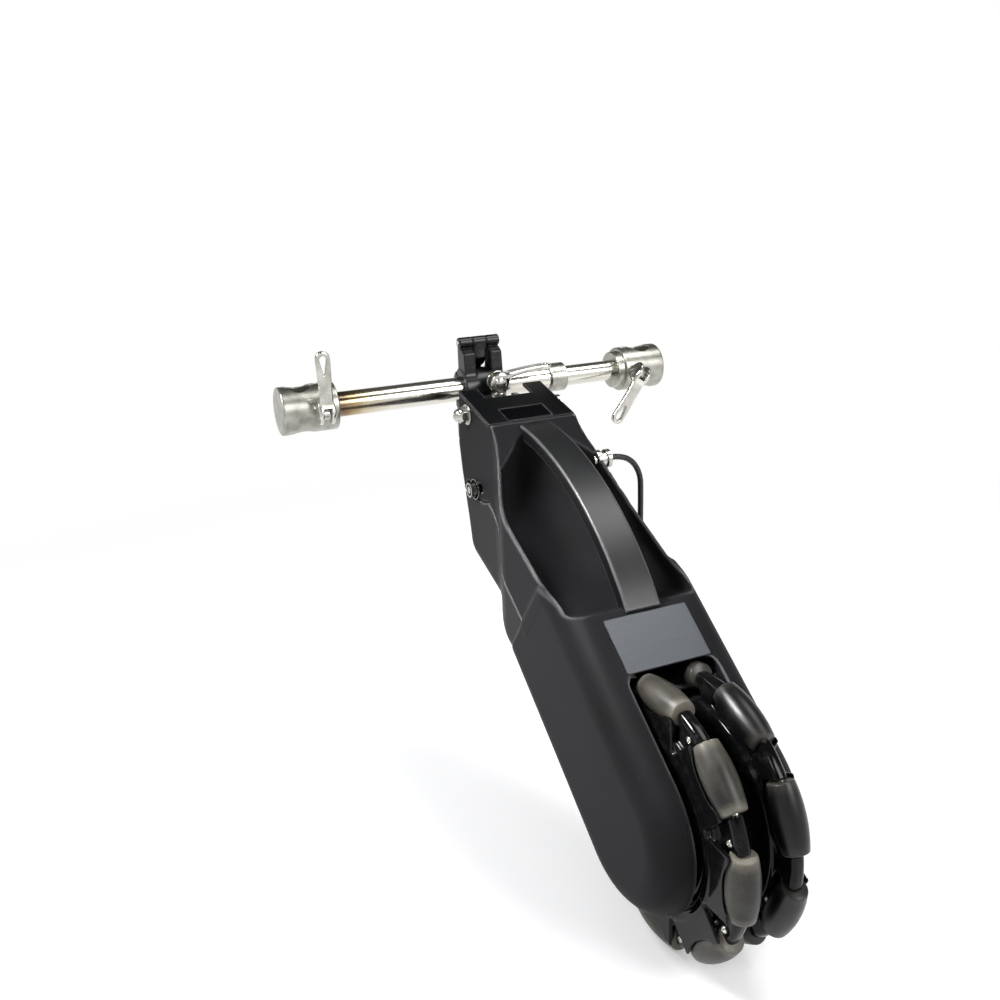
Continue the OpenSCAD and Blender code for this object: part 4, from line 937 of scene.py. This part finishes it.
hoop = add(barrel, "GeometryNodeCurvePrimitiveCircle", {"Resolution": 44, "Radius": 1.0})
tube = add(barrel, "GeometryNodeCurveToMesh", {"Curve": fine, "Profile Curve": hoop, "Scale": value["girth"],
                                               "Fill Caps": True})
marked = add(barrel, "GeometryNodeStoreNamedAttribute", {0: tube, "Name": "along", "Value": value["reach"]},
             data_type="FLOAT", domain="POINT")
lift = add(barrel, "ShaderNodeCombineXYZ", {0: given["Row"], 2: given["Path"]})
raised = add(barrel, "GeometryNodeTransform", {0: marked, "Translation": lift})
tilt = add(barrel, "ShaderNodeCombineXYZ", {0: given["Turn"]})
put = add(barrel, "GeometryNodeTransform", {0: raised, "Translation": hub, "Rotation": tilt})
real = add(barrel, "GeometryNodeRealizeInstances", {0: put})
rubber = add(barrel, "GeometryNodeSetMaterial", {0: real, "Material": given["Rubber"]})
add(barrel, "NodeGroupOutput", {"Geometry": rubber})
worn_rubber = roller_rubber("worn_rubber", "#191816", "#38362f", 0.30, 0.30, 0.50)
black_rubber = roller_rubber("black_rubber", "#060607", "#141413", 0.06, 0.24, 0.40)
for row, out, start, finish, slot in (("l", -1, rim_turn, worn_rubber, "roller_rubber"),
                                      ("r", 1, rim_turn + half_pitch, black_rubber, "roller_black")):
    for i in range(8):
        node = "roller_%s%d" % (row, i + 1)
        mesh = grown(node, barrel, Length=0.046, Wheel=wheel_r / 1000, Path=roller_path / 1000, Round=0.0007,
                     Row=out * row_x / 1000, Turn=math.radians(start + pitch * i), Rubber=finish)
        mesh.shade_smooth()
        mesh.set_sharp_from_angle(angle=math.radians(50))
        piece_of("barrel_" + node, mesh, finish, node, slot, node)


# The cable's fittings: a plated gland with a clamping nut on the body's side, a moulded in-line connector with grip
# rings and a screw collar, and a strip of hook tape round the coil.
gland_steps = [(-3, 2.6), (-3, 6), (0, 6), (0, 8), (0.5, 8.4), (3.6, 8.4), (4, 8), (4, 6.4), (9, 6.4), (9, 7.6),
               (9.5, 8), (12.8, 8), (14, 6.2), (14, 2.6), (-3, 2.6)]
piece_of("cable_gland", turned(gland_steps, Matrix.Translation(gland), 40), steel, "drive_unit", "steel",
         "cord_gland")
dress(moulded_plastic("connector_abs", "#121315", "#1a1b1d", 0.4, 0.1, 0.4, 0.0), "cord_plug", "cord_tie")
